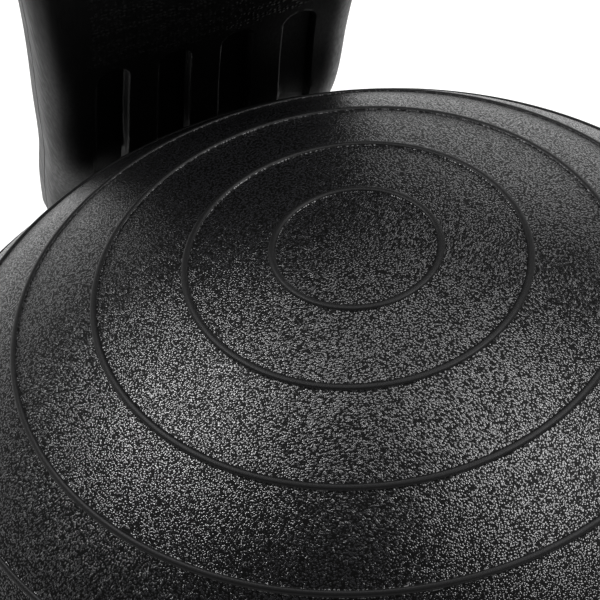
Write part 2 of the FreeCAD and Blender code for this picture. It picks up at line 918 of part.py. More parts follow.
def back_front_shell():
    outer = back_block(0.0, 0.0, parting, s.back_edge.value)
    hollow = back_block(wall, wall, parting + wall, s.back_edge.value - wall)
    behind_flute = back_slab(0.0, s.flute_depth.value + wall)
    inside = back_slab(wall / 2, parting)
    added = [flute_slot(x, wall).common(behind_flute) for x in flute_places]
    for x, height in back_screw_spots():
        added.append(post(x, height, s.back_boss_radius).common(inside))
    # two webs that the bar lies in
    saddle_width = s.bar_width.value + 2 * s.saddle_side.value
    for height in (s.bar_screw_low - s.saddle_below, s.bar_screw_high + s.saddle_above):
        spot = Vector(-saddle_width / 2, 0, (ball_height + height).value)
        saddle = Part.makeBox(saddle_width, cutting_length, s.saddle_thickness.value, spot)
        added.append(saddle.common(inside))
    above_floor = back_slab(-wall, s.flute_depth.value)
    removed = [flute_slot(x, 0.0).common(above_floor) for x in flute_places]
    for x, height in back_screw_spots():
        inner_end = back_y(height, parting) - s.back_screw_bite.value
        removed.append(post(x, height, s.back_screw_radius, inner_end))
    return outer.cut(hollow).fuse(added).cut(removed + [cover])


def back_rear_shell():
    outer = back_block(0.0, rear_face, parting, s.back_rear_edge.value)
    hollow = back_block(wall, rear_face - wall, parting - wall, s.back_rear_edge.value - wall)
    inside = back_slab(parting, rear_face - wall / 2)
    added = []
    removed = [cover]
    for x, height in back_screw_spots():
        seat = back_y(height, parting) + s.back_screw_grip.value
        added.append(post(x, height, s.back_boss_radius).common(inside))
        removed.append(post(x, height, s.back_screw_radius + s.bolt_clearance))
        removed.append(post(x, height, s.back_screw_head + s.seat_fit, seat))
    for x, height in bar_screw_spots():
        added.append(post(x, height, s.bar_screw_head + s.bar_boss_wall).common(inside))
        removed.append(post(x, height, s.bar_screw_radius + s.bolt_clearance))
        removed.append(post(x, height, s.bar_screw_head + s.seat_fit, bar_screw_seat(height)))
    return outer.cut(hollow).fuse(added).cut(removed)


keep(free_shape("backrest_front", back_front_shell()), "backrest_front")
keep(free_shape("backrest_rear", back_rear_shell()), "backrest_rear")
group("backrest_screws", [
    turned_bolt("backrest_screw_%d" % i, x, back_y(height, parting) + s.back_screw_grip,
                ball_height + height, s.back_screw_grip + s.back_screw_bite,
                s.back_screw_radius, s.back_screw_head, s.back_screw_head_height, TOWARDS_FRONT)
    for i, (x, height) in enumerate(back_screw_spots())])
group("bar_screws", [
    turned_bolt("bar_screw_%d" % i, x, bar_screw_seat(height), ball_height + height,
                s.bar_depth + s.bar_screw_bite, s.bar_screw_radius, s.bar_screw_head,
                s.bar_screw_head_height, TOWARDS_FRONT)
    for i, (x, height) in enumerate(bar_screw_spots())])

for number, (spot_x, height) in enumerate(bar_screw_spots()):
    spot_y = back_y(height, parting)
    hole = cylinder("bar_screw_hole_%d" % number, s.bar_screw_radius + s.bolt_clearance,
                    2 * s.bar_depth, Placement(Vector(0, 0, 0), ALONG_Y))
    bar_tools.append(shift_to(hole, spot_x, spot_y - s.bar_depth, ball_height + height))
keep(cut("support_bar", bar_outer, fuse("bar_tools", bar_tools)), "support_bar")


# Leg extenders, studs and the casters' stems

def at_caster(heading, local=None):
    # the place of a caster: turned so that its wheels trail outwards
    place = Placement(across(heading, caster_circle.value), Rotation(Vector(0, 0, 1), heading))
    return place.multiply(local) if local is not None else place


def turned_piece(name, corners):
    body = new_body(name)
    section = new_sketch(body, "XZ_Plane", name + "_section")
    polygon(section, corners)
    revolution(body, section)
    return body


stem_top = s.caster_height + s.stem_length
stud_seat = base_bottom - s.stud_grip
groove_radius = s.stem_radius - s.grip_ring_wall


def groove(first):
    # the waist that holds a grip ring, drawn upwards from its lower shoulder
    return [(s.stem_radius, first), (groove_radius, first),
            (groove_radius, first + s.grip_ring_height), (s.stem_radius, first + s.grip_ring_height)]


def extender(label, heading):
    body = turned_piece(label, [
        (stem_bore_radius, s.caster_height), (s.extender_foot_radius, s.caster_height),
        (s.extender_top_radius, base_bottom - s.extender_collar),
        (s.extender_top_radius, base_bottom), (s.stem_radius, base_bottom),
        (s.stem_radius, stud_seat), (0, stud_seat), (0, stem_top + s.bore_end_gap),
        (stem_bore_radius, stem_top + s.bore_end_gap)])
    body.Placement = at_caster(heading)
    return body


def stud(name, heading):
    body = turned_piece(name, [(0, stud_seat), (s.stem_radius, stud_seat)]
                        + groove(base_bottom + s.grip_ring_rise)
                        + [(s.stem_radius, base_bottom + s.stem_length),
                           (0, base_bottom + s.stem_length)])
    body.Placement = at_caster(heading)
    return body


def caster_stem(label, heading):
    flange_foot = s.caster_height - s.stem_flange_thickness
    body = turned_piece(label, [
        (0, flange_foot - s.pivot_length), (s.pivot_radius, flange_foot - s.pivot_length),
        (s.pivot_radius, flange_foot), (s.stem_flange_radius, flange_foot),
        (s.stem_flange_radius, s.caster_height), (s.stem_radius, s.caster_height)]
        + groove(s.caster_height + s.grip_ring_rise)
        + [(s.stem_radius, stem_top), (0, stem_top)])
    body.Placement = at_caster(heading)
    return body


def grip_ring(name, heading, foot):
    body = turned_piece(name, [
        (groove_radius, foot), (s.stem_radius, foot),
        (s.stem_radius, foot + s.grip_ring_height), (groove_radius, foot + s.grip_ring_height)])
    body.Placement = at_caster(heading)
    return body


group("leg_extenders", [extender("extender_%d" % h, h) for h in HEADINGS.values()])
group("caster_stems", [caster_stem("stem_%d" % h, h) for h in HEADINGS.values()])
group("extender_studs", [stud("stud_%d" % h, h) for h in HEADINGS.values()])
group("grip_rings", [grip_ring("grip_%d_%d" % (h, i), h, foot + s.grip_ring_rise)
                     for h in HEADINGS.values()
                     for i, foot in enumerate((s.caster_height, base_bottom))])


# Casters: swivelling housing with a hood, two wheels on one axle, a toe brake on the front pair

track = s.web_thickness + 2 * (s.wheel_gap + s.wheel_width)
hood_inside = s.wheel_radius + s.hood_gap
hood_outside = hood_inside + s.hood_wall
housing_top = s.caster_height - s.stem_flange_thickness - s.running_fit
brake_distance = s.wheel_radius + s.brake_stand_off
brake_x = s.caster_trail + brake_distance * cosine(s.brake_pivot_angle)
brake_z = s.wheel_radius + brake_distance * sine(s.brake_pivot_angle)


def crosswise(name, radius, width, x, z):
    # a round bar across the caster, centred on its middle plane
    bar = cylinder(name, radius, width, Placement(Vector(0, 0, 0), ALONG_Y))
    return shift_to(bar, x, -width / 2, z)


def caster_housing(label, heading):
    x, z = s.caster_trail, s.wheel_radius
    boss = cylinder(label + "_boss", s.boss_radius, housing_top - z, Placement())
    bind(boss, ".Placement.Base.z", z)
    shell = fuse(label + "_shell", [crosswise(label + "_hood", hood_outside, track, x, z), boss])
    beyond = 2 * s.wheel_radius
    hollow = fuse(label + "_hollow", [
        crosswise(label + "_inside", hood_inside, 2 * track, x, z),
        box(label + "_below", x - beyond, x + beyond, -track, track,
            z - beyond, z + s.hood_skirt),
        box(label + "_behind", x + s.hood_end, x + beyond, -track, track, z, z + beyond)])
    hood = cut(label + "_cover", shell, hollow)
    half_web = s.web_thickness / 2
    upper = common(label + "_upper", [
        crosswise(label + "_upper_disc", hood_inside + s.hood_wall / 2, s.web_thickness, x, z),
        box(label + "_upper_half", x - beyond, x + s.hood_end, -half_web, half_web,
            z, z + beyond)])
    body = fuse(label + "_body", [
        hood, upper,
        box(label + "_web", x - s.axle_web_half, x + s.axle_web_half, -half_web, half_web,
            z - s.axle_web_half, z + s.hood_skirt),
        crosswise(label + "_ear", s.brake_hub_radius, s.web_thickness, brake_x, brake_z),
        box(label + "_link", x + s.axle_web_half, brake_x, -half_web, half_web,
            brake_z - s.brake_hub_radius, brake_z + s.brake_hub_radius / 2)])
    pivot = cylinder(label + "_pivot", s.pivot_radius + s.running_fit,
                     s.pivot_length + s.stem_flange_thickness, Placement())
    bind(pivot, ".Placement.Base.z", housing_top - s.pivot_length - s.running_fit)
    bores = fuse(label + "_bores", [
        pivot,
        crosswise(label + "_axle_bore", s.axle_radius, track, x, z),
        crosswise(label + "_pin_bore", s.brake_pin_radius + s.running_fit, track,
                  brake_x, brake_z)])
    housing = cut(label, body, bores)
    housing.Placement = at_caster(heading)
    return keep(housing, label)


def caster_wheel(label, heading, side):
    rim = s.wheel_radius
    width = s.wheel_width
    bore = s.axle_radius + s.running_fit
    body = turned_piece(label, [
        (bore, 0), (s.hub_radius, 0), (s.hub_radius, width - s.wheel_wall),
        (rim - s.wheel_wall, width - s.wheel_wall), (rim - s.wheel_wall, 0), (rim, 0),
        (rim, width), (0, width), (0, width - s.axle_end), (bore, width - s.axle_end)])
    spot = Vector(s.caster_trail.value,
                  side * (s.web_thickness.value / 2 + s.wheel_gap.value), s.wheel_radius.value)
    turn = Rotation(Vector(1, 0, 0), -90 * side)
    body.Placement = at_caster(heading, Placement(spot, turn))
    return keep(body, label)


def caster_axle(label, heading):
    length = track - 2 * (s.axle_end + s.seat_fit)
    axle = crosswise(label + "_pin", s.axle_radius, length, s.caster_trail, s.wheel_radius)
    placed = doc.addObject("Part::Compound", label)
    placed.Links = [axle]
    placed.Placement = at_caster(heading)
    return keep(placed, label)


def brake_lever(label, heading):
    width = s.brake_width
    lobe_offset = s.brake_stand_off - s.brake_lobe_radius - s.seat_fit
    lobe_angle = s.brake_pivot_angle + s.brake_travel
    hub = crosswise(label + "_hub", s.brake_hub_radius, width, brake_x, brake_z)
    lobe = crosswise(label + "_lobe", s.brake_lobe_radius, width,
                     brake_x - lobe_offset * cosine(lobe_angle),
                     brake_z - lobe_offset * sine(lobe_angle))
    pedal = doc.addObject("Part::Box", label + "_pedal")
    bind(pedal, "Length", s.pedal_length)
    bind(pedal, "Width", width)
    bind(pedal, "Height", s.pedal_thickness)
    pedal.Placement = Placement(Vector(0, 0, 0), Rotation(Vector(0, 1, 0), -s.brake_travel.value))
    shift_to(pedal, brake_x, -width / 2, brake_z)
    blank = fuse(label + "_blank", [hub, lobe, pedal])
    slot = crosswise(label + "_slot", s.brake_hub_radius + s.brake_slot_gap,
                     s.web_thickness + 2 * s.seat_fit, brake_x, brake_z)
    bore = crosswise(label + "_bore", s.brake_pin_radius, width, brake_x, brake_z)
    lever = cut(label, blank, fuse(label + "_gaps", [slot, bore]))
    lever.Placement = at_caster(heading)
    return keep(lever, label)


def brake_pin(label, heading):
    pin = crosswise(label + "_rod", s.brake_pin_radius, s.brake_width, brake_x, brake_z)
    placed = doc.addObject("Part::Compound", label)
    placed.Links = [pin]
    placed.Placement = at_caster(heading)
    return keep(placed, label)


for corner, heading in HEADINGS.items():
    caster_housing("caster_housing_" + corner, heading)
    caster_axle("caster_axle_" + corner, heading)
    caster_wheel("wheel_a_" + corner, heading, 1)
    caster_wheel("wheel_b_" + corner, heading, -1)
    if corner.startswith("front"):
        brake_lever("brake_lever_" + corner, heading)
        brake_pin("brake_pin_" + corner, heading)


# Recompute, test every object and write one STEP file for each node
doc.recompute()
for thing in doc.Objects:
    if "Invalid" in thing.State or "Error" in thing.State:
        raise RuntimeError("%s did not compute: %s" % (thing.Label, thing.State))
os.makedirs("parts", exist_ok=True)
for node in nodes:
    shape = node.Shape
    if shape.isNull() or not shape.isValid() or not shape.Solids:
        raise RuntimeError("%s has no sound solid" % node.Label)
for node in nodes:
    node.Shape.exportStep("parts/%s.step" % node.Label)
    print("%-32s %2d solid(s) %12.0f mm3" % (node.Label, len(node.Shape.Solids), node.Shape.Volume))
print("%d nodes" % len(nodes))
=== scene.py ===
import json
import math
import bmesh
import bpy
import numpy as np
from mathutils import Matrix, Vector

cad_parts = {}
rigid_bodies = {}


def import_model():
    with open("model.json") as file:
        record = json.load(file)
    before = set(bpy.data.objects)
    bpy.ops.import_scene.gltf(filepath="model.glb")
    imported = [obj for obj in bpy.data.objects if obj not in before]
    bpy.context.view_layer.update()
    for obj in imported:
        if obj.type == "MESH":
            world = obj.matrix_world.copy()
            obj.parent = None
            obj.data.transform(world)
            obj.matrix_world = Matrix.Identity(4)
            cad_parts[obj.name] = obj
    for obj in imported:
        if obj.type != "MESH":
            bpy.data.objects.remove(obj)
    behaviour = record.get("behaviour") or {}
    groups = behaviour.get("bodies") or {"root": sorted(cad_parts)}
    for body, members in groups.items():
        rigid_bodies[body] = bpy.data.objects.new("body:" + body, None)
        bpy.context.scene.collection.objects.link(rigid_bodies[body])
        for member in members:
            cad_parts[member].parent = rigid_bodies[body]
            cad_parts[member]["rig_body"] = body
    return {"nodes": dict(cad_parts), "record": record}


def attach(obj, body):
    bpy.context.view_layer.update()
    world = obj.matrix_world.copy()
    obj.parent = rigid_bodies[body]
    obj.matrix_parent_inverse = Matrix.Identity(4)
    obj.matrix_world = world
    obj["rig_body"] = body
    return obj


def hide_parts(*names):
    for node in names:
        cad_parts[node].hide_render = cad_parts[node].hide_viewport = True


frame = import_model()
print("frame loaded:", len(frame["nodes"]), "nodes")
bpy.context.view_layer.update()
mm = 0.001
scene = bpy.context.scene


# Camera: looks down over the ball at the backrest, as the photograph does
camera = {
    "place": (-0.41635, -1.24734, 1.87333),   # metres
    "heading": 17.29,                         # degrees clockwise from +Y, seen from above
    "lookDown": 44.77,
    "roll": -5.88,
    "lens": 252.0,                            # mm, a long lens from two metres away
    "sensor": 36.0,
    "reach": 50.0,                            # metres, the furthest that it sees
}


def makeCamera():
    data = bpy.data.cameras.new("photo_camera")
    data.lens = camera["lens"]
    data.sensor_width = camera["sensor"]
    data.clip_end = camera["reach"]
    thing = bpy.data.objects.new("photo_camera", data)
    turn = Matrix.Rotation(math.radians(-camera["heading"]), 4, "Z")
    tip = Matrix.Rotation(math.radians(90 - camera["lookDown"]), 4, "X")
    roll = Matrix.Rotation(math.radians(camera["roll"]), 4, "Z")
    thing.matrix_world = Matrix.Translation(camera["place"]) @ turn @ tip @ roll
    scene.collection.objects.link(thing)
    scene.camera = thing


makeCamera()
print("camera set")


# Small helpers
def linear(hexColour):
    # sRGB hex to the linear colour that Blender's sockets take
    parts = [int(hexColour[i:i + 2], 16) / 255 for i in (1, 3, 5)]
    return [c / 12.92 if c <= 0.04045 else ((c + 0.055) / 1.055) ** 2.4 for c in parts] + [1.0]


def addNode(tree, kind, settings=None, **inputs):
    # adds one node, sets its own settings, then fills or links its inputs:
    # Base_Color is the input of that name, in6 the one with that number
    node = tree.nodes.new(kind)
    for name, value in (settings or {}).items():
        setattr(node, name, value)
    for name, value in inputs.items():
        numbered = name.startswith("in") and name[2:].isdigit()
        socket = node.inputs[int(name[2:]) if numbered else name.replace("_", " ")]
        if isinstance(value, bpy.types.NodeSocket):
            tree.links.new(value, socket)
        else:
            socket.default_value = value
    return node


def newMaterial(name):
    material = bpy.data.materials.new(name)
    material.use_nodes = True
    tree = material.node_tree
    tree.nodes.clear()
    coords = addNode(tree, "ShaderNodeTexCoord").outputs["Object"]
    return material, tree, coords


def finishMaterial(tree, shader):
    addNode(tree, "ShaderNodeOutputMaterial", Surface=shader.outputs[0])


edgeHighlight = {
    "samples": 4,
    "starts": 0.995,         # agreement of rounded and true normal where the painted edge highlight starts
    "full": 0.9,             # and where it is at its strongest
    "patch": 7.0 * mm,
    "least": 0.25,           # what is left of the painted edge highlight between patches
}


def paintedEdgeHighlight(tree, coords, radius):
    # painted edge highlight: strong on corners, where a rounded normal leaves the true one, and
    # broken up by noise
    rounded = addNode(tree, "ShaderNodeBevel", {"samples": edgeHighlight["samples"]}, Radius=radius)
    plain = addNode(tree, "ShaderNodeNewGeometry")
    same = addNode(tree, "ShaderNodeVectorMath", {"operation": "DOT_PRODUCT"},
                   in0=rounded.outputs[0], in1=plain.outputs["Normal"])
    corner = addNode(tree, "ShaderNodeMapRange", {}, Value=same.outputs["Value"],
                     From_Min=edgeHighlight["starts"], From_Max=edgeHighlight["full"])
    patches = addNode(tree, "ShaderNodeTexNoise", {}, Vector=coords, Scale=1 / edgeHighlight["patch"],
                      Detail=5.0)
    much = addNode(tree, "ShaderNodeMapRange", {}, Value=patches.outputs["Fac"], From_Min=0.35,
                   From_Max=0.65, To_Min=edgeHighlight["least"])
    return addNode(tree, "ShaderNodeMath", {"operation": "MULTIPLY"}, in0=corner.outputs[0],
                   in1=much.outputs[0]).outputs[0]


def meshPiece(name, bm, material, crease=None):
    # a mesh object from a bmesh, smooth, with edges over the crease angle kept sharp
    mesh = bpy.data.meshes.new(name)
    bm.to_mesh(mesh)
    bm.free()
    mesh.shade_smooth()
    if crease:
        mesh.set_sharp_from_angle(angle=math.radians(crease))
    mesh.materials.append(material)
    piece = bpy.data.objects.new(name, mesh)
    scene.collection.objects.link(piece)
    return piece


slotOf = {entry["node"]: entry["material_slot"] for entry in frame["record"]["subparts"]}
creases = {"screws": 35, "softened": 35, "wheels": 40, "shells": 32}   # degrees, sharper edges stay


def dress(piece, nodeName):
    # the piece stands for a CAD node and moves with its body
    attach(piece, frame["nodes"][nodeName]["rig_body"])
    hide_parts(nodeName)


# Ball: one skin with raised rings round the upright axis
ball = {
    "centre": (0.0, 0.0, 0.340109),
    "radius": 260.0 * mm,
    "wall": 2.2 * mm,
    "ribHeight": 1.2 * mm,
    "ribWidth": 3.4 * mm,
    "firstRib": 8.2,         # degrees from the pole
    "secondRib": 17.0,
    "ribPitch": 10.0,
    "ribsEachEnd": 8,
    "ribSteps": 10,
    "ribPower": 3,           # higher is flatter on top
    "ribShoulder": 0.6,      # lower is squarer at the sides
    "footGap": 0.35 * mm,    # a tight loop beside each rib keeps its foot crisp
    "gapSteps": 3,
    "innerSteps": 60,
    "turns": 288,            # steps round the axis
    "hole": 4.5 * mm,        # radius, for the plug, at the lower pole
}


def ballProfile():
    # points from the plug hole at the lower pole, up the outside, and back down the inside
    radius = ball["radius"]
    half = math.degrees(ball["ribWidth"] / 2 / radius)
    tight = math.degrees(ball["footGap"] / radius)
    hole = math.degrees(math.asin(ball["hole"] / radius))
    low = [ball["firstRib"]]
    low += [ball["secondRib"] + i * ball["ribPitch"] for i in range(ball["ribsEachEnd"] - 1)]
    polar = [(radius, hole)]
    last = hole
    for angle in low + [180 - a for a in reversed(low)] + [180 + half + tight]:
        first, end = last + tight, angle - half - tight
        steps = ball["gapSteps"] * max(1, round((end - first) / ball["ribPitch"]))
        polar += [(radius, first + (end - first) * i / steps) for i in range(steps + 1)]
        if angle < 180:
            for i in range(ball["ribSteps"] + 1):
                t = math.cos(math.pi * i / ball["ribSteps"])
                full = max(0, 1 - abs(t) ** ball["ribPower"]) ** ball["ribShoulder"]
                polar.append((radius + ball["ribHeight"] * full, angle - t * half))
        last = angle + half
    inner = radius - ball["wall"]
    steps = ball["innerSteps"]
    polar += [(inner, 180 - (180 - hole) * i / steps) for i in range(steps + 1)]
    return polar


def makeBall(material):
    bm = bmesh.new()
    centre = Vector(ball["centre"])
    row = []
    for radius, angle in ballProfile():
        turn = math.radians(angle)
        spot = Vector((radius * math.sin(turn), 0, -radius * math.cos(turn)))
        row.append(bm.verts.new(centre + spot))
    edges = [bm.edges.new((row[i], row[(i + 1) % len(row)])) for i in range(len(row))]
    bmesh.ops.spin(bm, geom=row + edges, cent=centre, axis=(0, 0, 1), angle=2 * math.pi,
                   steps=ball["turns"], use_merge=True)
    bmesh.ops.remove_doubles(bm, verts=bm.verts, dist=1e-6)
    bmesh.ops.recalc_face_normals(bm, faces=bm.faces)
    return meshPiece("ball_skin", bm, material)


vinyl = {
    "pebble": 0.95 * mm,     # the real grain is about half this, too fine to show
    "domeFoot": 0.65,        # a pebble's dome rises between these, in shares of its size
    "domeTop": 0.15,         # from its middle
    "clump": 2.4 * mm,       # size of the patches in which the pebbles stand taller
    "lowest": 0.35,          # shares of the full height, in and out of those patches
    "tallest": 1.25,
    "relief": 0.1 * mm,
    "tipStarts": 0.06,       # shares of the height at which a pit turns to a shining tip
    "tipFull": 0.32,
    "ribFoot": 0.1 * mm,     # the pebbles fade out over this height of a rib
    "ribClear": 0.5 * mm,
    # the pits' near black is painted shade, the tips' paler colour a painted glint
    "pit": "#020202",
    "tip": "#151517",
    "rib": "#070708",
    "pitRoughness": 0.5,
    "tipRoughness": 0.2,
    "ribRoughness": 0.5,
    "pitSwallows": 0.9,      # how much of the shine is taken out, in the pits as painted shade
    "ribSwallows": 0.75,
    "ior": 1.72,             # PVC has about 1.53; this is more, so that the tips sparkle enough
}


def stippledVinyl():
    # PVC from a blasted mould: near black, its glossy pebbles sparkle between smooth raised rings;
    # paler tips are a painted glint, darker pits painted shade
    material, tree, coords = newMaterial("stippled_moulded_pvc")
    reach = addNode(tree, "ShaderNodeVectorMath", {"operation": "DISTANCE"}, in0=coords,
                    in1=ball["centre"])
    field = addNode(tree, "ShaderNodeMapRange", {}, Value=reach.outputs["Value"],
                    From_Min=ball["radius"] + vinyl["ribClear"],
                    From_Max=ball["radius"] + vinyl["ribFoot"])
    pebbles = addNode(tree, "ShaderNodeTexVoronoi", {"feature": "F1"}, Vector=coords,
                      Scale=1 / vinyl["pebble"], Randomness=1.0)
    domes = addNode(tree, "ShaderNodeMapRange", {"interpolation_type": "SMOOTHSTEP"},
                    Value=pebbles.outputs["Distance"], From_Min=vinyl["domeFoot"],
                    From_Max=vinyl["domeTop"])
    clumps = addNode(tree, "ShaderNodeTexNoise", {}, Vector=coords, Scale=1 / vinyl["clump"],
                     Detail=3.0, Roughness=0.7)
    tall = addNode(tree, "ShaderNodeMapRange", {}, Value=clumps.outputs["Fac"], From_Min=0.3,
                   From_Max=0.7, To_Min=vinyl["lowest"], To_Max=vinyl["tallest"])
    height = addNode(tree, "ShaderNodeMath", {"operation": "MULTIPLY"}, in0=domes.outputs[0],
                     in1=tall.outputs[0])
    grain = addNode(tree, "ShaderNodeMath", {"operation": "MULTIPLY"}, in0=height.outputs[0],
                    in1=field.outputs[0])
    bump = addNode(tree, "ShaderNodeBump", {}, Height=grain.outputs[0], Strength=1.0,
                   Distance=vinyl["relief"])
    tips = addNode(tree, "ShaderNodeMapRange", {"interpolation_type": "SMOOTHSTEP"},
                   Value=height.outputs[0], From_Min=vinyl["tipStarts"], From_Max=vinyl["tipFull"])
    # painted glint and shade: pale colour on the pebbles' tips, near black in their pits
    shade = addNode(tree, "ShaderNodeMix", {"data_type": "RGBA"}, in0=tips.outputs[0],
                    in6=linear(vinyl["pit"]), in7=linear(vinyl["tip"]))
    colour = addNode(tree, "ShaderNodeMix", {"data_type": "RGBA"}, in0=field.outputs[0],
                     in6=linear(vinyl["rib"]), in7=shade.outputs[2])
    grainRough = addNode(tree, "ShaderNodeMapRange", {}, Value=tips.outputs[0],
                         To_Min=vinyl["pitRoughness"], To_Max=vinyl["tipRoughness"])
    rough = addNode(tree, "ShaderNodeMix", {"data_type": "FLOAT"}, in0=field.outputs[0],
                    in2=vinyl["ribRoughness"], in3=grainRough.outputs[0])
    # painted shade: the pits are made metallic, so that they reflect no more than their own black
    pits = addNode(tree, "ShaderNodeMapRange", {}, Value=tips.outputs[0],
                   To_Min=vinyl["pitSwallows"], To_Max=0.0)
    metal = addNode(tree, "ShaderNodeMix", {"data_type": "FLOAT"}, in0=field.outputs[0],
                    in2=vinyl["ribSwallows"], in3=pits.outputs[0])
    skin = addNode(tree, "ShaderNodeBsdfPrincipled", {}, Base_Color=colour.outputs[2],
                   Roughness=rough.outputs[0], Metallic=metal.outputs[0],
                   Normal=bump.outputs[0], IOR=vinyl["ior"])
    finishMaterial(tree, skin)
    return material


dress(makeBall(stippledVinyl()), "ball")
print("ball made")


# Backrest: two moulded shells that meet in a line round the sides
backrest = {
    "footWidth": 142.0 * mm,
    "headWidth": 192.0 * mm,
    "headFlat": 112.0 * mm,
    "foot": 65.0 * mm,                                 # over the ball's centre
    "height": 382.0 * mm,
    "flare": 1.05,                                     # 1 is straight sides
    "footCorner": 10.0 * mm,
    "headCorner": 62.0 * mm,
    "frontDepth": 20.0 * mm,
    "rearDepth": 17.0 * mm,
    "frontEdge": 15.0 * mm,
    "rearEdge": 10.0 * mm,
    "grooveHalf": 0.35 * mm,                           # half the gap that shows as the parting line
    "grooveDepth": 0.8 * mm,
    "footSteps": 16,
    "headSteps": 22,
    "edgeSteps": 10,
    "inner": 60.0 * mm,                                # inside this the columns stand upright
    "innerClear": 2.0 * mm,                            # from there to the rounded edge at least
    "sideSteps": 3,
    "columnGap": 1.5 * mm,
    "columnClear": 0.8 * mm,                           # from a flute's own columns
    "rowGap": 3.0 * mm,
    "rowClear": 1.2 * mm,
    # side view of the front face: height over the ball's centre, distance behind it (mm)
    "spine": ((58.0, 257.05), (85.0, 249.43), (107.0, 240.83), (143.0, 221.5), (183.0, 208.4),
              (221.0, 195.0), (262.0, 184.0), (305.0, 180.5), (360.0, 186.0), (410.0, 196.0),
              (457.0, 206.0)),
    # from behind: place across and height over the ball's centre (mm)
    "screws": ((-62.0, 150.0), (62.0, 150.0), (-66.0, 370.0), (66.0, 370.0)),
    "barScrews": ((0.0, 112.0), (0.0, 162.0)),
    "screwSeat": 28.0 * mm,                            # behind the front face
    "barScrewSeat": 34.5 * mm,
    "screwBore": 4.3 * mm,                             # radius of the counterbore
    "barScrewBore": 4.8 * mm,
    "boreLength": 60.0 * mm,
    "boreSteps": 48,
    # the mouth for the bar, its ends given by height and distance behind the front face (mm)
    "mouthWidth": 50.8 * mm,
    "mouthDepth": 20.8 * mm,
    "mouthEnds": ((52.0, 18.0), (112.0, 18.2)),
    "mouthCorner": 4.0 * mm,
    "mouthSteps": 4,
}
flutes = {
    "count": 4,
    "width": 16.6 * mm,
    "pitch": 31.6 * mm,
    "depth": 4.0 * mm,
    "top": 222.5 * mm,
    "bottom": 112.0 * mm,
    "rim": 0.9 * mm,                                   # how softly the rim turns over
    "wall": 1.3 * mm,                                  # how far the wall slopes in
    "rimSteps": (-0.5, -0.1, 0.25, 0.6, 0.95, 1.3, 1.75),          # mm, columns across one rim
    "endGap": 0.8 * mm,                                # between rows at a flute's ends
}


def spineDepth(heights):
    # cubic through the spine's points, natural at its ends
    z = np.array([p[0] for p in backrest["spine"]]) * mm
    y = np.array([p[1] for p in backrest["spine"]]) * mm
    n = len(z)
    h = np.diff(z)
    a = np.eye(n)
    b = np.zeros(n)
    for i in range(1, n - 1):
        a[i, i - 1:i + 2] = h[i - 1], 2 * (h[i - 1] + h[i]), h[i]
        b[i] = 6 * ((y[i + 1] - y[i]) / h[i] - (y[i] - y[i - 1]) / h[i - 1])
    m = np.linalg.solve(a, b)
    k = np.clip(np.searchsorted(z, heights) - 1, 0, n - 2)
    t, u = heights - z[k], z[k + 1] - heights
    curved = (m[k] * u ** 3 + m[k + 1] * t ** 3) / (6 * h[k])
    lower = (y[k] / h[k] - m[k] * h[k] / 6) * u
    upper = (y[k + 1] / h[k] - m[k + 1] * h[k] / 6) * t
    return curved + lower + upper


def backPlace(x, height, depth):
    # a place given by its front view and its depth behind the backrest's face
    behind = float(spineDepth(np.array([height]))[0])
    return Vector((x, behind + depth, height + ball["centre"][2]))


def halfWidth(height):
    # front view: flared sides, round lower corners and a domed head
    rise = (height - backrest["foot"]) / backrest["height"]
    low = backrest["footWidth"] / 2
    half = low + (backrest["headWidth"] / 2 - low) * rise ** backrest["flare"]
    below = backrest["footCorner"] - (height - backrest["foot"])
    if below > 0:
        half -= backrest["footCorner"] - math.sqrt(max(0, backrest["footCorner"] ** 2 - below ** 2))
    intoHead = 1 - (backrest["foot"] + backrest["height"] - height) / backrest["headCorner"]
    if intoHead > 0:
        flat = backrest["headFlat"] / 2
        half = flat + (half - flat) * math.sqrt(max(0, 1 - intoHead ** 2))
    return half


def quarterSteps(size, count):
    # distances from an edge, close together near it
    return [size * (1 - math.cos(math.pi / 2 * i / count)) for i in range(count + 1)]


def backRows():
    # heights of the rows, close together at the rounded ends and at the flutes' ends
    foot, head = backrest["foot"], backrest["foot"] + backrest["height"]
    rows = [foot + e for e in quarterSteps(backrest["footCorner"], backrest["footSteps"])]
    rows += [head - e for e in quarterSteps(backrest["headCorner"], backrest["headSteps"])]
    reach = flutes["width"] / 2 + 2 * flutes["rim"]
    for low in (flutes["bottom"] - flutes["rim"], flutes["top"] + flutes["rim"] - reach):
        rows += list(np.arange(low, low + reach, flutes["endGap"]))
    for height in np.arange(foot + backrest["footCorner"], head - backrest["headCorner"],
                            backrest["rowGap"]):
        if min(abs(height - r) for r in rows) > backrest["rowClear"]:
            rows.append(height)
    return sorted(rows)


def backColumns():
    # places across the inner part, close together at the flutes' rims
    fine = []
    for i in range(flutes["count"]):
        for side in (-1, 1):
            rim = (i - (flutes["count"] - 1) / 2) * flutes["pitch"] + side * flutes["width"] / 2
            fine += [rim - side * step * mm for step in flutes["rimSteps"]]
    places = np.arange(-backrest["inner"], backrest["inner"] + mm, backrest["columnGap"])
    clear = backrest["columnClear"]
    return sorted(fine + [x for x in places if min(abs(x - f) for f in fine) > clear])


def acrossRow(half, inner):
    # the row's places from side to side: the inner ones, then a few to the rounded edge
    edge, steps = backrest["frontEdge"], backrest["sideSteps"]
    scale = min(1, (half - edge - backrest["innerClear"]) / backrest["inner"])
    last = inner[-1] * scale
    right = [last + (half - edge - last) * i / steps for i in range(1, steps)]
    right += [half - e for e in reversed(quarterSteps(edge, backrest["edgeSteps"]))]
    return [-x for x in reversed(right)] + [x * scale for x in inner] + right


def distanceInside(x, z, rows):
    # distance from points of the front view to the outline, the right half standing for both
    best = np.minimum(z - rows[0], rows[-1] - z)
    outline = np.array([(halfWidth(r), r) for r in rows])
    near = np.abs(x)
    for a, b in zip(outline[:-1], outline[1:]):
        step = b - a
        t = np.clip(((near - a[0]) * step[0] + (z - a[1]) * step[1]) / (step @ step), 0, 1)
        best = np.minimum(best, np.hypot(near - a[0] - t * step[0], z - a[1] - t * step[1]))
    return best


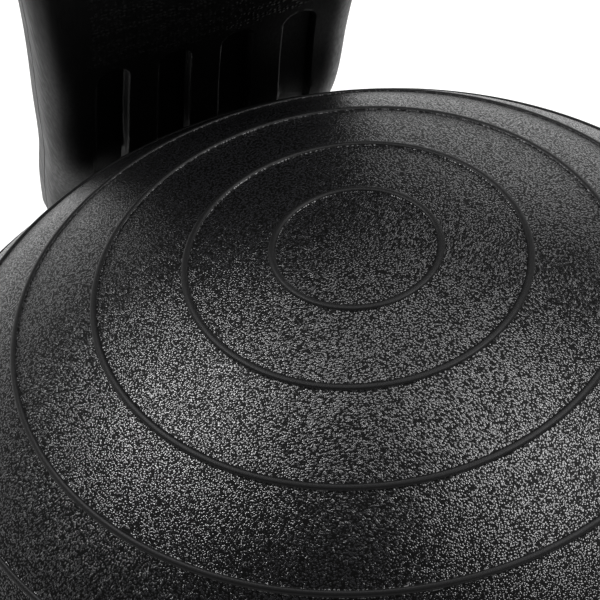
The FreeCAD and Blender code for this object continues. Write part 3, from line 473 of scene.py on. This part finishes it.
def fluteDepth(x, z):
    # how far the face sinks at places of the front view
    total = np.zeros(x.shape)
    half = flutes["width"] / 2
    zLow, zHigh = flutes["bottom"] + half, flutes["top"] - half
    for i in range(flutes["count"]):
        across = x - (i - (flutes["count"] - 1) / 2) * flutes["pitch"]
        inside = half - np.hypot(across, z - np.clip(z, zLow, zHigh))
        t = np.clip((inside + flutes["rim"] / 2) / (flutes["rim"] + flutes["wall"]), 0, 1)
        total = np.maximum(total, flutes["depth"] * t * t * (3 - 2 * t))
    return total


def rolled(distance, radius):
    # how far a rounded edge falls back at a distance inside the outline
    left = radius - np.clip(distance, 0, radius)
    return radius - np.sqrt(np.maximum(radius ** 2 - left ** 2, 0))


def setIn(x, height):
    # the same place on an outline a groove's depth smaller
    middle = backrest["foot"] + backrest["height"] / 2
    thin = 1 - 2 * backrest["grooveDepth"] / backrest["height"]
    narrow = 1 - 2 * backrest["grooveDepth"] / backrest["headWidth"]
    return x * narrow, middle + (height - middle) * thin


def makeShell(name, material, front):
    # a grid is the face, a copy of it the flat at the parting, and the side wall joins them
    rows, inner = backRows(), backColumns()
    table = np.array([acrossRow(halfWidth(r), inner) for r in rows])
    bm = bmesh.new()
    bmesh.ops.create_grid(bm, x_segments=table.shape[1] - 1, y_segments=len(rows) - 1, size=1)
    copied = bmesh.ops.duplicate(bm, geom=bm.verts[:] + bm.edges[:] + bm.faces[:])["geom"]
    inside = set(g for g in copied if isinstance(g, bmesh.types.BMVert))
    flat = np.array([v.co[:2] for v in bm.verts])
    across = np.rint((flat[:, 0] + 1) / 2 * (table.shape[1] - 1)).astype(int)
    up = np.rint((flat[:, 1] + 1) / 2 * (len(rows) - 1)).astype(int)
    x, z = table[up, across], np.array(rows)[up]
    fall = rolled(distanceInside(x, z, rows), backrest["frontEdge" if front else "rearEdge"])
    parting = backrest["frontDepth"]
    depth = fall + fluteDepth(x, z) if front else parting + backrest["rearDepth"] - fall
    behind = spineDepth(z)
    for i, vert in enumerate(bm.verts):
        if vert in inside:
            vert.co = backPlace(*setIn(x[i], z[i]), parting)     # the flat face at the parting
        else:
            vert.co = (x[i], behind[i] + depth[i], z[i] + ball["centre"][2])
    # the side wall runs to the groove, turns in and meets the flat face
    rim = [e for e in bm.edges if e.is_boundary and e.verts[0] not in inside]
    end = parting - backrest["grooveHalf"] if front else parting + backrest["grooveHalf"]
    for turnedIn in (False, True):
        made = bmesh.ops.extrude_edge_only(bm, edges=rim)["geom"]
        rim = [g for g in made if isinstance(g, bmesh.types.BMEdge)]
        for vert in [g for g in made if isinstance(g, bmesh.types.BMVert)]:
            place = (vert.co.x, vert.co.z - ball["centre"][2])
            vert.co = backPlace(*(setIn(*place) if turnedIn else place), end)
    flatRim = [e for e in bm.edges if e.is_boundary and e.verts[0] in inside]
    bmesh.ops.bridge_loops(bm, edges=rim + flatRim)
    bmesh.ops.recalc_face_normals(bm, faces=bm.faces)
    return meshPiece(name, bm, material)


def roundCutter(bm, spot, radius, depth):
    # a round hole from a depth behind the face straight back
    length = backrest["boreLength"]
    place = backPlace(spot[0] * mm, spot[1] * mm, depth) + Vector((0, length / 2, 0))
    bmesh.ops.create_cone(bm, cap_ends=True, segments=backrest["boreSteps"], radius1=radius,
                          radius2=radius, depth=length,
                          matrix=Matrix.Translation(place) @ Matrix.Rotation(math.pi / 2, 4, "X"))


def barMouth(bm):
    # the oblong slot in the foot that the bar goes up into
    low, high = [backPlace(0, height * mm, depth * mm) for height, depth in backrest["mouthEnds"]]
    run = high - low
    turn = run.to_track_quat("Z", "Y").to_matrix().to_4x4()
    size = Matrix.Diagonal((backrest["mouthWidth"], backrest["mouthDepth"], run.length, 1))
    place = Matrix.Translation((low + high) / 2) @ turn
    made = bmesh.ops.create_cube(bm, size=1, matrix=place @ size)["verts"]
    along = run.normalized()
    edges = set(e for v in made for e in v.link_edges)
    runs = [e for e in edges if abs((e.verts[1].co - e.verts[0].co).normalized().dot(along)) > 0.9]
    bmesh.ops.bevel(bm, geom=runs, affect="EDGES", offset=backrest["mouthCorner"],
                    segments=backrest["mouthSteps"], profile=0.5, material=-1)


def carve(piece, bm):
    # cuts the cutter's shape out of a piece for good
    mesh = bpy.data.meshes.new("cutter")
    bm.to_mesh(mesh)
    bm.free()
    cutter = bpy.data.objects.new("cutter", mesh)
    scene.collection.objects.link(cutter)
    modifier = piece.modifiers.new("carve", "BOOLEAN")
    modifier.object, modifier.operation, modifier.solver = cutter, "DIFFERENCE", "EXACT"
    bpy.context.view_layer.update()
    carved = piece.evaluated_get(bpy.context.evaluated_depsgraph_get())
    shaped = bpy.data.meshes.new_from_object(carved)
    piece.modifiers.clear()
    shaped.shade_smooth()
    shaped.set_sharp_from_angle(angle=math.radians(creases["shells"]))
    piece.data = shaped
    bpy.data.objects.remove(cutter)


backSkin = {
    "fieldHalf": 57.0 * mm,  # half the knurled field's width
    "fieldFade": 2.0 * mm,
    "fieldOver": 1.0 * mm,   # from the flutes' tops up to the field
    "footFade": 3.0 * mm,
    "bow": 6.0 * mm,         # how much higher the field's foot is at its sides than in the middle
    "knob": 2.2 * mm,        # pitch of the knurl, as the photograph shows it
    "knobFoot": 0.55,        # a knob rises between these, in shares of the pitch from its middle
    "knobTop": 0.1,
    "spark": 0.9 * mm,       # spark erosion leaves about 0.1 mm, too fine to show
    "sparkShare": 0.1,       # of a knob's height
    "relief": 0.4 * mm,
    "streakWidth": 1.2 * mm,
    "streakLength": 60.0 * mm,
    "smoothest": 0.36,
    "roughest": 0.52,
    "dark": "#020202",
    "light": "#060606",
    "knobHighlightTone": "#141414",
    "edgeHighlightTone": "#242425",
    "edgeHighlightRadius": 0.8 * mm,
    "ior": 1.49,
    "specular": 0.16,        # duller than bare plastic, as the dark face is in the photograph
}


def mouldedBackPlastic():
    # injection-moulded polypropylene: near black, satin, knurled in a field over the flutes
    material, tree, coords = newMaterial("textured_moulded_polypropylene")
    place = addNode(tree, "ShaderNodeSeparateXYZ", {}, Vector=coords)
    side = addNode(tree, "ShaderNodeMath", {"operation": "ABSOLUTE"}, in0=place.outputs["X"])
    inField = addNode(tree, "ShaderNodeMapRange", {}, Value=side.outputs[0],
                      From_Min=backSkin["fieldHalf"] + backSkin["fieldFade"],
                      From_Max=backSkin["fieldHalf"])
    # the field's lower edge bows down in the middle
    fieldFoot = ball["centre"][2] + flutes["top"] + backSkin["fieldOver"]
    squared = addNode(tree, "ShaderNodeMath", {"operation": "MULTIPLY"}, in0=side.outputs[0],
                      in1=side.outputs[0])
    edge = addNode(tree, "ShaderNodeMath", {"operation": "MULTIPLY_ADD"}, in0=squared.outputs[0],
                   in1=-backSkin["bow"] / backSkin["fieldHalf"] ** 2, in2=place.outputs["Z"])
    over = addNode(tree, "ShaderNodeMapRange", {}, Value=edge.outputs[0], From_Min=fieldFoot,
                   From_Max=fieldFoot + backSkin["footFade"])
    # only where the face looks forward
    normal = addNode(tree, "ShaderNodeNewGeometry").outputs["Normal"]
    facing = addNode(tree, "ShaderNodeSeparateXYZ", {}, Vector=normal)
    faceward = addNode(tree, "ShaderNodeMapRange", {}, Value=facing.outputs["Y"], From_Min=-0.2,
                       From_Max=-0.4)
    knurled = addNode(tree, "ShaderNodeMath", {"operation": "MULTIPLY"}, in0=inField.outputs[0],
                      in1=over.outputs[0])
    field = addNode(tree, "ShaderNodeMath", {"operation": "MULTIPLY"}, in0=knurled.outputs[0],
                    in1=faceward.outputs[0])
    bumps = addNode(tree, "ShaderNodeTexVoronoi", {"feature": "F1"}, Vector=coords,
                    Scale=1 / backSkin["knob"], Randomness=0.55)
    raised = addNode(tree, "ShaderNodeMapRange", {"interpolation_type": "SMOOTHSTEP"},
                     Value=bumps.outputs["Distance"], From_Min=backSkin["knobFoot"],
                     From_Max=backSkin["knobTop"])
    knobs = addNode(tree, "ShaderNodeMath", {"operation": "MULTIPLY"}, in0=raised.outputs[0],
                    in1=field.outputs[0])
    spark = addNode(tree, "ShaderNodeTexNoise", {}, Vector=coords, Scale=1 / backSkin["spark"],
                    Detail=4.0)
    height = addNode(tree, "ShaderNodeMath", {"operation": "MULTIPLY_ADD"},
                     in0=spark.outputs["Fac"], in1=backSkin["sparkShare"], in2=knobs.outputs[0])
    bump = addNode(tree, "ShaderNodeBump", {}, Height=height.outputs[0], Strength=0.6,
                   Distance=backSkin["relief"])
    # flow streaks down the rounded edges
    across, along = 1 / backSkin["streakWidth"], 1 / backSkin["streakLength"]
    stretched = addNode(tree, "ShaderNodeMapping", {}, Vector=coords, Scale=(across, across, along))
    streaks = addNode(tree, "ShaderNodeTexNoise", {}, Vector=stretched.outputs[0], Scale=1.0,
                      Detail=2.0)
    rough = addNode(tree, "ShaderNodeMapRange", {}, Value=streaks.outputs["Fac"], From_Min=0.3,
                    From_Max=0.7, To_Min=backSkin["smoothest"], To_Max=backSkin["roughest"])
    tone = addNode(tree, "ShaderNodeMix", {"data_type": "RGBA"}, in0=streaks.outputs["Fac"],
                   in6=linear(backSkin["dark"]), in7=linear(backSkin["light"]))
    # painted highlight: the knobs are coloured paler than the plastic around them
    dotted = addNode(tree, "ShaderNodeMix", {"data_type": "RGBA"}, in0=knobs.outputs[0],
                     in6=tone.outputs[2], in7=linear(backSkin["knobHighlightTone"]))
    # painted edge highlight: the corners are coloured paler
    edgeHighlightTone = addNode(tree, "ShaderNodeMix", {"data_type": "RGBA"},
                   in0=paintedEdgeHighlight(tree, coords, backSkin["edgeHighlightRadius"]),
                   in6=dotted.outputs[2], in7=linear(backSkin["edgeHighlightTone"]))
    skin = addNode(tree, "ShaderNodeBsdfPrincipled", {}, Base_Color=edgeHighlightTone.outputs[2],
                   Roughness=rough.outputs[0], Normal=bump.outputs[0], IOR=backSkin["ior"],
                   Specular_IOR_Level=backSkin["specular"])
    finishMaterial(tree, skin)
    return material


backPlastic = mouldedBackPlastic()
for nodeName, isFront in (("backrest_front", True), ("backrest_rear", False)):
    shell = makeShell(nodeName + "_shell", backPlastic, isFront)
    cutters = bmesh.new()
    barMouth(cutters)
    if not isFront:
        for spot in backrest["screws"]:
            roundCutter(cutters, spot, backrest["screwBore"], backrest["screwSeat"])
        for spot in backrest["barScrews"]:
            roundCutter(cutters, spot, backrest["barScrewBore"], backrest["barScrewSeat"])
    carve(shell, cutters)
    dress(shell, nodeName)
print("backrest made")


# Finishes of the smaller pieces, by the record's material slots
plastics = {
    # dull black with a faint cloud of glass fibre
    "base_plastic": {"name": "glass_filled_polypropylene", "dark": "#131314", "light": "#1b1b1c",
                     "edgeHighlightTone": "#303031", "grain": 1.0 * mm, "roughness": 0.5, "ior": 1.49},
    # softer and a little paler
    "plug_plastic": {"name": "soft_moulded_pvc", "dark": "#202021", "light": "#28282a",
                     "edgeHighlightTone": "#343435", "grain": 0.8 * mm, "roughness": 0.45, "ior": 1.53},
    # satin black
    "caster_nylon": {"name": "moulded_black_nylon", "dark": "#131314", "light": "#1a1a1b",
                     "edgeHighlightTone": "#333334", "grain": 0.9 * mm, "roughness": 0.38, "ior": 1.53},
    # greyer, since a floor dulls it
    "wheel_nylon": {"name": "hard_moulded_nylon", "dark": "#18181a", "light": "#212123",
                    "edgeHighlightTone": "#3b3b3c", "grain": 1.1 * mm, "roughness": 0.42, "ior": 1.53},
    # the shiniest, from a polished mould
    "lever_plastic": {"name": "smooth_moulded_nylon", "dark": "#161617", "light": "#1e1e1f",
                      "edgeHighlightTone": "#373738", "grain": 0.7 * mm, "roughness": 0.32, "ior": 1.53},
}
plasticDetail = {            # alike in all of them
    "cloud": 30.0 * mm,
    "relief": 0.4,           # depth of the grain, as a share of its width
    "spread": 0.08,          # how far the roughness wanders either way
    "edgeHighlightRadius": 1.2 * mm,
}


def grainedPlastic(name, dark, light, edgeHighlightTone, grain, roughness, ior):
    # moulded in a spark-eroded tool: grained, cloudy in tone, corners painted paler as an edge
    # highlight
    # the grain is drawn several times as coarse as the real 0.1 to 0.2 mm, to show at all
    material, tree, coords = newMaterial(name)
    spark = addNode(tree, "ShaderNodeTexNoise", {}, Vector=coords, Scale=1 / grain, Detail=5.0,
                    Roughness=0.6)
    cloud = addNode(tree, "ShaderNodeTexNoise", {}, Vector=coords, Scale=1 / plasticDetail["cloud"],
                    Detail=3.0)
    bump = addNode(tree, "ShaderNodeBump", {}, Height=spark.outputs["Fac"], Strength=0.5,
                   Distance=grain * plasticDetail["relief"])
    tone = addNode(tree, "ShaderNodeMix", {"data_type": "RGBA"}, in0=cloud.outputs["Fac"],
                   in6=linear(dark), in7=linear(light))
    # painted edge highlight: the corners are coloured paler
    highlightedTone = addNode(tree, "ShaderNodeMix", {"data_type": "RGBA"},
                     in0=paintedEdgeHighlight(tree, coords, plasticDetail["edgeHighlightRadius"]),
                     in6=tone.outputs[2], in7=linear(edgeHighlightTone))
    rough = addNode(tree, "ShaderNodeMapRange", {}, Value=cloud.outputs["Fac"], From_Min=0.3,
                    From_Max=0.7, To_Min=roughness - plasticDetail["spread"],
                    To_Max=roughness + plasticDetail["spread"])
    skin = addNode(tree, "ShaderNodeBsdfPrincipled", {}, Base_Color=highlightedTone.outputs[2],
                   Roughness=rough.outputs[0], Normal=bump.outputs[0], IOR=ior)
    finishMaterial(tree, skin)
    return material


powder = {
    "peel": 1.6 * mm,        # wavelength of the orange peel
    "relief": 0.3 * mm,
    "smoothest": 0.3,
    "roughest": 0.46,
    "tone": "#141415",
    "edgeHighlightTone": "#3a3a3b",
    "edgeHighlightRadius": 0.9 * mm,
}


def powderCoat():
    # polyester powder on steel: black with a fine orange peel, its corners painted grey as an edge
    # highlight
    material, tree, coords = newMaterial("powder_coated_steel")
    peel = addNode(tree, "ShaderNodeTexNoise", {}, Vector=coords, Scale=1 / powder["peel"],
                   Detail=2.0)
    bump = addNode(tree, "ShaderNodeBump", {}, Height=peel.outputs["Fac"], Strength=0.4,
                   Distance=powder["relief"])
    rough = addNode(tree, "ShaderNodeMapRange", {}, Value=peel.outputs["Fac"],
                    To_Min=powder["smoothest"], To_Max=powder["roughest"])
    tone = addNode(tree, "ShaderNodeMix", {"data_type": "RGBA"},
                   in0=paintedEdgeHighlight(tree, coords, powder["edgeHighlightRadius"]),
                   in6=linear(powder["tone"]), in7=linear(powder["edgeHighlightTone"]))
    skin = addNode(tree, "ShaderNodeBsdfPrincipled", {}, Base_Color=tone.outputs[2],
                   Roughness=rough.outputs[0], Normal=bump.outputs[0])
    finishMaterial(tree, skin)
    return material


zinc = {
    "blotch": 2.5 * mm,
    "relief": 0.1 * mm,
    "smoothest": 0.2,
    "roughest": 0.42,
    "dark": "#a9adaf",
    "light": "#c6c9ca",
}


def zincPlate():
    # bright zinc on cold-headed steel: pale grey, slightly blue, blotched in tone and shine
    material, tree, coords = newMaterial("zinc_plated_steel")
    blotch = addNode(tree, "ShaderNodeTexNoise", {}, Vector=coords, Scale=1 / zinc["blotch"],
                     Detail=4.0)
    rough = addNode(tree, "ShaderNodeMapRange", {}, Value=blotch.outputs["Fac"], From_Min=0.3,
                    From_Max=0.7, To_Min=zinc["smoothest"], To_Max=zinc["roughest"])
    tone = addNode(tree, "ShaderNodeMix", {"data_type": "RGBA"}, in0=blotch.outputs["Fac"],
                   in6=linear(zinc["dark"]), in7=linear(zinc["light"]))
    bump = addNode(tree, "ShaderNodeBump", {}, Height=blotch.outputs["Fac"], Strength=0.2,
                   Distance=zinc["relief"])
    skin = addNode(tree, "ShaderNodeBsdfPrincipled", {}, Base_Color=tone.outputs[2],
                   Roughness=rough.outputs[0], Metallic=1.0, Normal=bump.outputs[0])
    finishMaterial(tree, skin)
    return material


finishes = {slot: grainedPlastic(**values) for slot, values in plastics.items()}
finishes["bar_paint"] = powderCoat()
finishes["zinc_steel"] = zincPlate()
for nodeName, slot in slotOf.items():
    if slot in finishes:
        materials = frame["nodes"][nodeName].data.materials
        materials.clear()
        materials.append(finishes[slot])
print("finishes given")


def finishOf(nodeName):
    return finishes[slotOf[nodeName]]


# Mouldings and the bar: copies of the CAD solids with every sharp edge turned over
softEdges = {
    # node: radius of its edges
    "base_front": 1.0 * mm,
    "base_rear": 1.0 * mm,
    "leg_extenders": 1.0 * mm,
    "support_bar": 1.4 * mm,
    "air_plug": 0.4 * mm,
    "caster_housing_front_left": 0.6 * mm,
    "caster_housing_front_right": 0.6 * mm,
    "caster_housing_rear_left": 0.6 * mm,
    "caster_housing_rear_right": 0.6 * mm,
    "brake_lever_front_left": 0.7 * mm,
    "brake_lever_front_right": 0.7 * mm,
}
softening = {
    "merge": 0.005 * mm,     # the CAD's triangles come loose
    "flat": 1.0,             # degrees between triangles that become one face
    "sharp": 30.0,           # degrees between faces whose edge is turned over
    "segments": 2,
}


def soften(nodeName, radius):
    bm = bmesh.new()
    bm.from_mesh(frame["nodes"][nodeName].data)
    bmesh.ops.remove_doubles(bm, verts=bm.verts, dist=softening["merge"])
    bmesh.ops.dissolve_limit(bm, angle_limit=math.radians(softening["flat"]), verts=bm.verts,
                             edges=bm.edges)
    least = math.radians(softening["sharp"])
    sharp = [e for e in bm.edges if len(e.link_faces) == 2 and e.calc_face_angle() > least]
    before = len(bm.faces)
    bmesh.ops.bevel(bm, geom=sharp, affect="EDGES", offset=radius, offset_type="OFFSET",
                    segments=softening["segments"], profile=0.5, clamp_overlap=True, material=-1)
    print("softened", nodeName, before, "to", len(bm.faces), "faces,",
          sum(1 for e in bm.edges if not e.is_manifold), "open edges")
    piece = meshPiece(nodeName + "_softened", bm, finishOf(nodeName), creases["softened"])
    piece.modifiers.new("even_normals", "WEIGHTED_NORMAL").keep_sharp = True
    dress(piece, nodeName)


for nodeName, radius in softEdges.items():
    soften(nodeName, radius)


# Screws and bolts whose heads show: domed heads with a hexagon socket
def seatsBehind(spots, depth):
    # in the backrest: a spot is its place across and its height over the ball's centre
    return [backPlace(x * mm, height * mm, depth) for x, height in spots]


def seatsAt(spots, y):
    # on a flat face square to Y: a spot is its place across and its height over the floor
    return [Vector((x * mm, y * mm, height * mm)) for x, height in spots]


screws = {
    # way is where the head stands along Y, lengths are in mm
    "backrest_screws": {"seats": seatsBehind(backrest["screws"], backrest["screwSeat"]), "way": 1,
                        "headRadius": 4.0, "headHeight": 2.5, "shankRadius": 2.0, "length": 18.0},
    "bar_screws": {"seats": seatsBehind(backrest["barScrews"], backrest["barScrewSeat"]), "way": 1,
                   "headRadius": 4.5, "headHeight": 2.5, "shankRadius": 3.0, "length": 24.0},
    "bar_bolts": {"seats": seatsAt(((0.0, 138.0), (0.0, 162.0)), 268.3), "way": 1,
                  "headRadius": 6.5, "headHeight": 8.0, "shankRadius": 4.0, "length": 57.8},
    "base_bolts": {"seats": seatsAt(((-184.0, 130.0), (184.0, 130.0), (-207.0, 150.0),
                                     (207.0, 150.0)), -6.0), "way": -1,
                   "headRadius": 6.5, "headHeight": 8.0, "shankRadius": 4.0, "length": 20.5},
}
screwForm = {
    # the head's profile in shares of its radius and height
    "crown": ((1.0, 0.0), (1.0, 0.5), (0.96, 0.72), (0.86, 0.9), (0.7, 0.98), (0.58, 1.0)),
    "socket": 0.5,           # share of the radius
    "rim": 0.97,             # shares of the height: where the socket starts, and how deep it is
    "depth": 0.55,
    "sides": 6,
    "steps": 36,
    "point": (0.4, 0.5),     # mm, how the shank's end narrows, across and along
}


def turnScrew(bm, seat, way, headRadius, headHeight, shankRadius, length):
    size = screwForm["socket"] * headRadius * mm
    shares = screwForm["crown"] + ((screwForm["socket"], screwForm["rim"]), (0.0, screwForm["rim"]))
    narrow, run = screwForm["point"]
    points = [(0.0, -length), (shankRadius - narrow, -length), (shankRadius, run - length),
              (shankRadius, 0.0)]
    points += [(headRadius * r, headHeight * h) for r, h in shares]
    row = [bm.verts.new(seat + Vector((r * mm, way * h * mm, 0))) for r, h in points]
    edges = [bm.edges.new(pair) for pair in zip(row[:-1], row[1:])]
    bmesh.ops.spin(bm, geom=row + edges, cent=seat, axis=(0, 1, 0), angle=2 * math.pi,
                   steps=screwForm["steps"], use_merge=True)
    bmesh.ops.remove_doubles(bm, verts=bm.verts, dist=0.001 * mm)
    # the triangles in the middle of the head go down, and their ring becomes a hexagon
    top = seat + Vector((0, way * headHeight * screwForm["rim"] * mm, 0))
    fan = [f for f in bm.faces
           if len(f.verts) == 3 and (f.calc_center_median() - top).length < size]
    made = bmesh.ops.extrude_face_region(bm, geom=fan)["geom"]
    bottom = [g for g in made if isinstance(g, bmesh.types.BMVert)]
    sink = -way * screwForm["depth"] * headHeight * mm
    bmesh.ops.translate(bm, verts=bottom, vec=(0, sink, 0))
    ring = [v for v in bm.verts if abs((v.co - top).length - size) < 0.001 * mm]
    wedge = 360 / screwForm["sides"]
    for vert in ring + bottom:
        away = Vector((vert.co.x - seat.x, 0, vert.co.z - seat.z))
        if away.length > 0.01 * mm:
            turn = math.degrees(math.atan2(away.z, away.x)) % wedge - wedge / 2
            reach = size * math.cos(math.radians(wedge / 2)) / math.cos(math.radians(turn))
            vert.co += away.normalized() * (reach - away.length)


for nodeName, screw in screws.items():
    bm = bmesh.new()
    sizes = {name: value for name, value in screw.items() if name != "seats"}
    for seat in screw["seats"]:
        turnScrew(bm, seat, **sizes)
    bmesh.ops.recalc_face_normals(bm, faces=bm.faces)
    dress(meshPiece(nodeName + "_turned", bm, finishOf(nodeName), creases["screws"]), nodeName)
print("screws made")


# Wheels: hollow nylon discs with a rounded tread, a dished face and six pockets (mm and degrees)
wheels = {
    "circle": 328.0,         # from the chair's axis to a caster's pivot
    "trail": 19.0,           # from the pivot on to the axle
    "axleHeight": 25.0,
    "standOff": 5.2,         # from the caster's middle to a wheel's inner face
    "steps": 96,
    "pockets": 6,
    "pocketHalf": 21.0,      # half a pocket's angle
    "pocketInner": 11.4,
    "pocketOuter": 18.4,
    "pocketOut": 16.0,       # pockets are cut only in faces further out than this
    "pocketRim": 0.6,
    "pocketSink": 0.9,
    # degrees from +X towards +Y
    "headings": {"front_left": 225.0, "front_right": 315.0, "rear_left": 135.0, "rear_right": 45.0},
    # radius, distance out from the inner face
    "section": (
        (0, 15.6), (3.05, 15.6), (3.05, 0.3), (3.35, 0), (6.2, 0), (6.5, 0.3),
        (6.5, 13.6), (6.8, 14.3), (7.5, 14.6), (21.0, 14.6), (21.7, 14.3), (22.0, 13.6),
        (22.0, 0.3), (22.3, 0), (23.9, 0), (24.6, 0.3), (24.9, 0.9), (25.0, 1.8),
        (25.0, 12.6), (24.9, 14.0), (24.5, 15.3), (23.8, 16.4), (22.8, 17.2), (21.8, 17.55),
        (21.0, 17.6), (20.5, 17.45), (20.2, 16.9), (19.8, 16.6), (19.2, 16.5), (18.4, 16.5),
        (11.4, 16.5), (10.6, 16.5), (10.0, 16.6), (9.6, 16.9), (9.3, 17.45), (8.8, 17.6),
        (8.4, 17.5), (8.2, 17.0), (7.8, 17.0), (7.6, 17.4), (7.0, 17.55), (4.0, 17.6), (0, 17.6)),
}


def makeWheel(nodeName, heading, side):
    # turned round Y at the origin, then taken to its place under the chair
    bm = bmesh.new()
    spot = (wheels["circle"] + wheels["trail"], side * wheels["standOff"], wheels["axleHeight"])
    place = Matrix.Rotation(math.radians(heading), 4, "Z") @ Matrix.Translation(Vector(spot) * mm)
    row = [bm.verts.new((0, side * out * mm, radius * mm)) for radius, out in wheels["section"]]
    edges = [bm.edges.new(pair) for pair in zip(row, row[1:] + row[:1])]
    bmesh.ops.spin(bm, geom=row + edges, cent=(0, 0, 0), axis=(0, 1, 0), angle=2 * math.pi,
                   steps=wheels["steps"], use_merge=True)
    bmesh.ops.remove_doubles(bm, verts=bm.verts, dist=0.001 * mm)
    bmesh.ops.dissolve_degenerate(bm, edges=bm.edges, dist=0.001 * mm)
    bmesh.ops.recalc_face_normals(bm, faces=bm.faces)
    pitch = 360 / wheels["pockets"]
    chosen = []
    for face in bm.faces:
        middle = face.calc_center_median()
        reach = math.hypot(middle.x, middle.z) / mm
        turn = math.degrees(math.atan2(middle.x, middle.z)) % pitch - pitch / 2
        outside = abs(middle.y) > wheels["pocketOut"] * mm
        within = wheels["pocketInner"] < reach < wheels["pocketOuter"]
        if outside and within and abs(turn) < wheels["pocketHalf"]:
            chosen.append(face)
    bmesh.ops.inset_region(bm, faces=chosen, thickness=wheels["pocketRim"] * mm,
                           depth=-wheels["pocketSink"] * mm, use_even_offset=True)
    bmesh.ops.transform(bm, matrix=place, verts=bm.verts)
    dress(meshPiece(nodeName + "_turned", bm, finishOf(nodeName), creases["wheels"]), nodeName)


for corner, heading in wheels["headings"].items():
    makeWheel("wheel_a_" + corner, heading, 1)
    makeWheel("wheel_b_" + corner, heading, -1)
print("wheels made")


# Stage: pale floor, soft lamps, a studio that is white at the horizon and darker overhead
stage = {
    "floorSize": 30.0,       # metres
    "floorColour": "#e6e6e6",
    "nearGlow": 0.45,        # the floor's own white, up to nearReach from the middle
    "farGlow": 1.0,          # and from farReach on
    "nearReach": 0.8,
    "farReach": 3.5,
    "horizon": 1.0,          # strength of the world below lowRise, 1 is white
    "zenith": 0.05,          # and above highRise, so that the ball's top stays dark
    "lowRise": 0.03,         # both are sines of the angle over the horizon
    "highRise": 0.34,
}
lamps = (
    # name, degrees from +Y towards +X, degrees up, then metres away, wide and high, and watts
    ("right_softbox", 118.0, 54.0, 2.1, 1.2, 0.7, 30.0),
    ("left_softbox", -51.0, 56.0, 2.1, 0.6, 0.8, 27.0),
    ("rear_softbox", 40.0, 22.0, 2.2, 0.5, 0.5, 2.5),
    ("top_softbox", 50.0, 74.0, 2.2, 0.9, 0.9, 13.0),
)


def makeFloor():
    # pale paint that keeps the shadows; it glows only where it is seen or mirrored
    bm = bmesh.new()
    bmesh.ops.create_grid(bm, x_segments=1, y_segments=1, size=stage["floorSize"] / 2)
    material, tree, coords = newMaterial("studio_floor_paint")
    lightPath = addNode(tree, "ShaderNodeLightPath")
    seen = addNode(tree, "ShaderNodeMath", {"operation": "MAXIMUM"},
                   in0=lightPath.outputs["Is Camera Ray"], in1=lightPath.outputs["Is Glossy Ray"])
    paint = addNode(tree, "ShaderNodeBsdfDiffuse", {}, Color=linear(stage["floorColour"]))
    reach = addNode(tree, "ShaderNodeVectorMath", {"operation": "LENGTH"}, in0=coords)
    paler = addNode(tree, "ShaderNodeMapRange", {"interpolation_type": "SMOOTHSTEP"},
                    Value=reach.outputs["Value"], From_Min=stage["nearReach"],
                    From_Max=stage["farReach"], To_Min=stage["nearGlow"], To_Max=stage["farGlow"])
    glow = addNode(tree, "ShaderNodeEmission", {}, Color=(1, 1, 1, 1), Strength=paler.outputs[0])
    both = addNode(tree, "ShaderNodeAddShader", {}, in0=paint.outputs[0], in1=glow.outputs[0])
    choice = addNode(tree, "ShaderNodeMixShader", {}, in0=seen.outputs[0], in1=paint.outputs[0],
                     in2=both.outputs[0])
    finishMaterial(tree, choice)
    meshPiece("studio_floor", bm, material)


def makeWorld():
    # white wherever the camera looks past the floor
    world = bpy.data.worlds.new("studio_world")
    world.use_nodes = True
    tree = world.node_tree
    tree.nodes.clear()
    way = addNode(tree, "ShaderNodeTexCoord").outputs["Generated"]
    up = addNode(tree, "ShaderNodeSeparateXYZ", {}, Vector=way)
    level = addNode(tree, "ShaderNodeMapRange", {"interpolation_type": "SMOOTHSTEP"},
                    Value=up.outputs["Z"], From_Min=stage["lowRise"], From_Max=stage["highRise"],
                    To_Min=stage["horizon"], To_Max=stage["zenith"])
    lightPath = addNode(tree, "ShaderNodeLightPath")
    seen = addNode(tree, "ShaderNodeMath", {"operation": "MAXIMUM"},
                   in0=lightPath.outputs["Is Camera Ray"],
                   in1=lightPath.outputs["Is Transmission Ray"])
    shown = addNode(tree, "ShaderNodeMath", {"operation": "MAXIMUM"}, in0=level.outputs[0],
                    in1=seen.outputs[0])
    air = addNode(tree, "ShaderNodeBackground", {}, Color=(1, 1, 1, 1), Strength=shown.outputs[0])
    addNode(tree, "ShaderNodeOutputWorld", {}, Surface=air.outputs[0])
    scene.world = world


def makeLamp(name, bearing, rise, distance, width, height, power):
    data = bpy.data.lights.new(name, "AREA")
    data.shape = "RECTANGLE"
    data.size, data.size_y = width, height
    data.energy = power
    turn, lift = math.radians(bearing), math.radians(rise)
    way = Vector((math.sin(turn) * math.cos(lift), math.cos(turn) * math.cos(lift), math.sin(lift)))
    lamp = bpy.data.objects.new(name, data)
    facing = way.to_track_quat("Z", "Y").to_matrix().to_4x4()
    lamp.matrix_world = Matrix.Translation(Vector(ball["centre"]) + way * distance) @ facing
    scene.collection.objects.link(lamp)


def makeStage():
    makeFloor()
    makeWorld()
    for lamp in lamps:
        makeLamp(*lamp)
    scene.view_settings.view_transform = "Standard"


makeStage()
print("stage made")
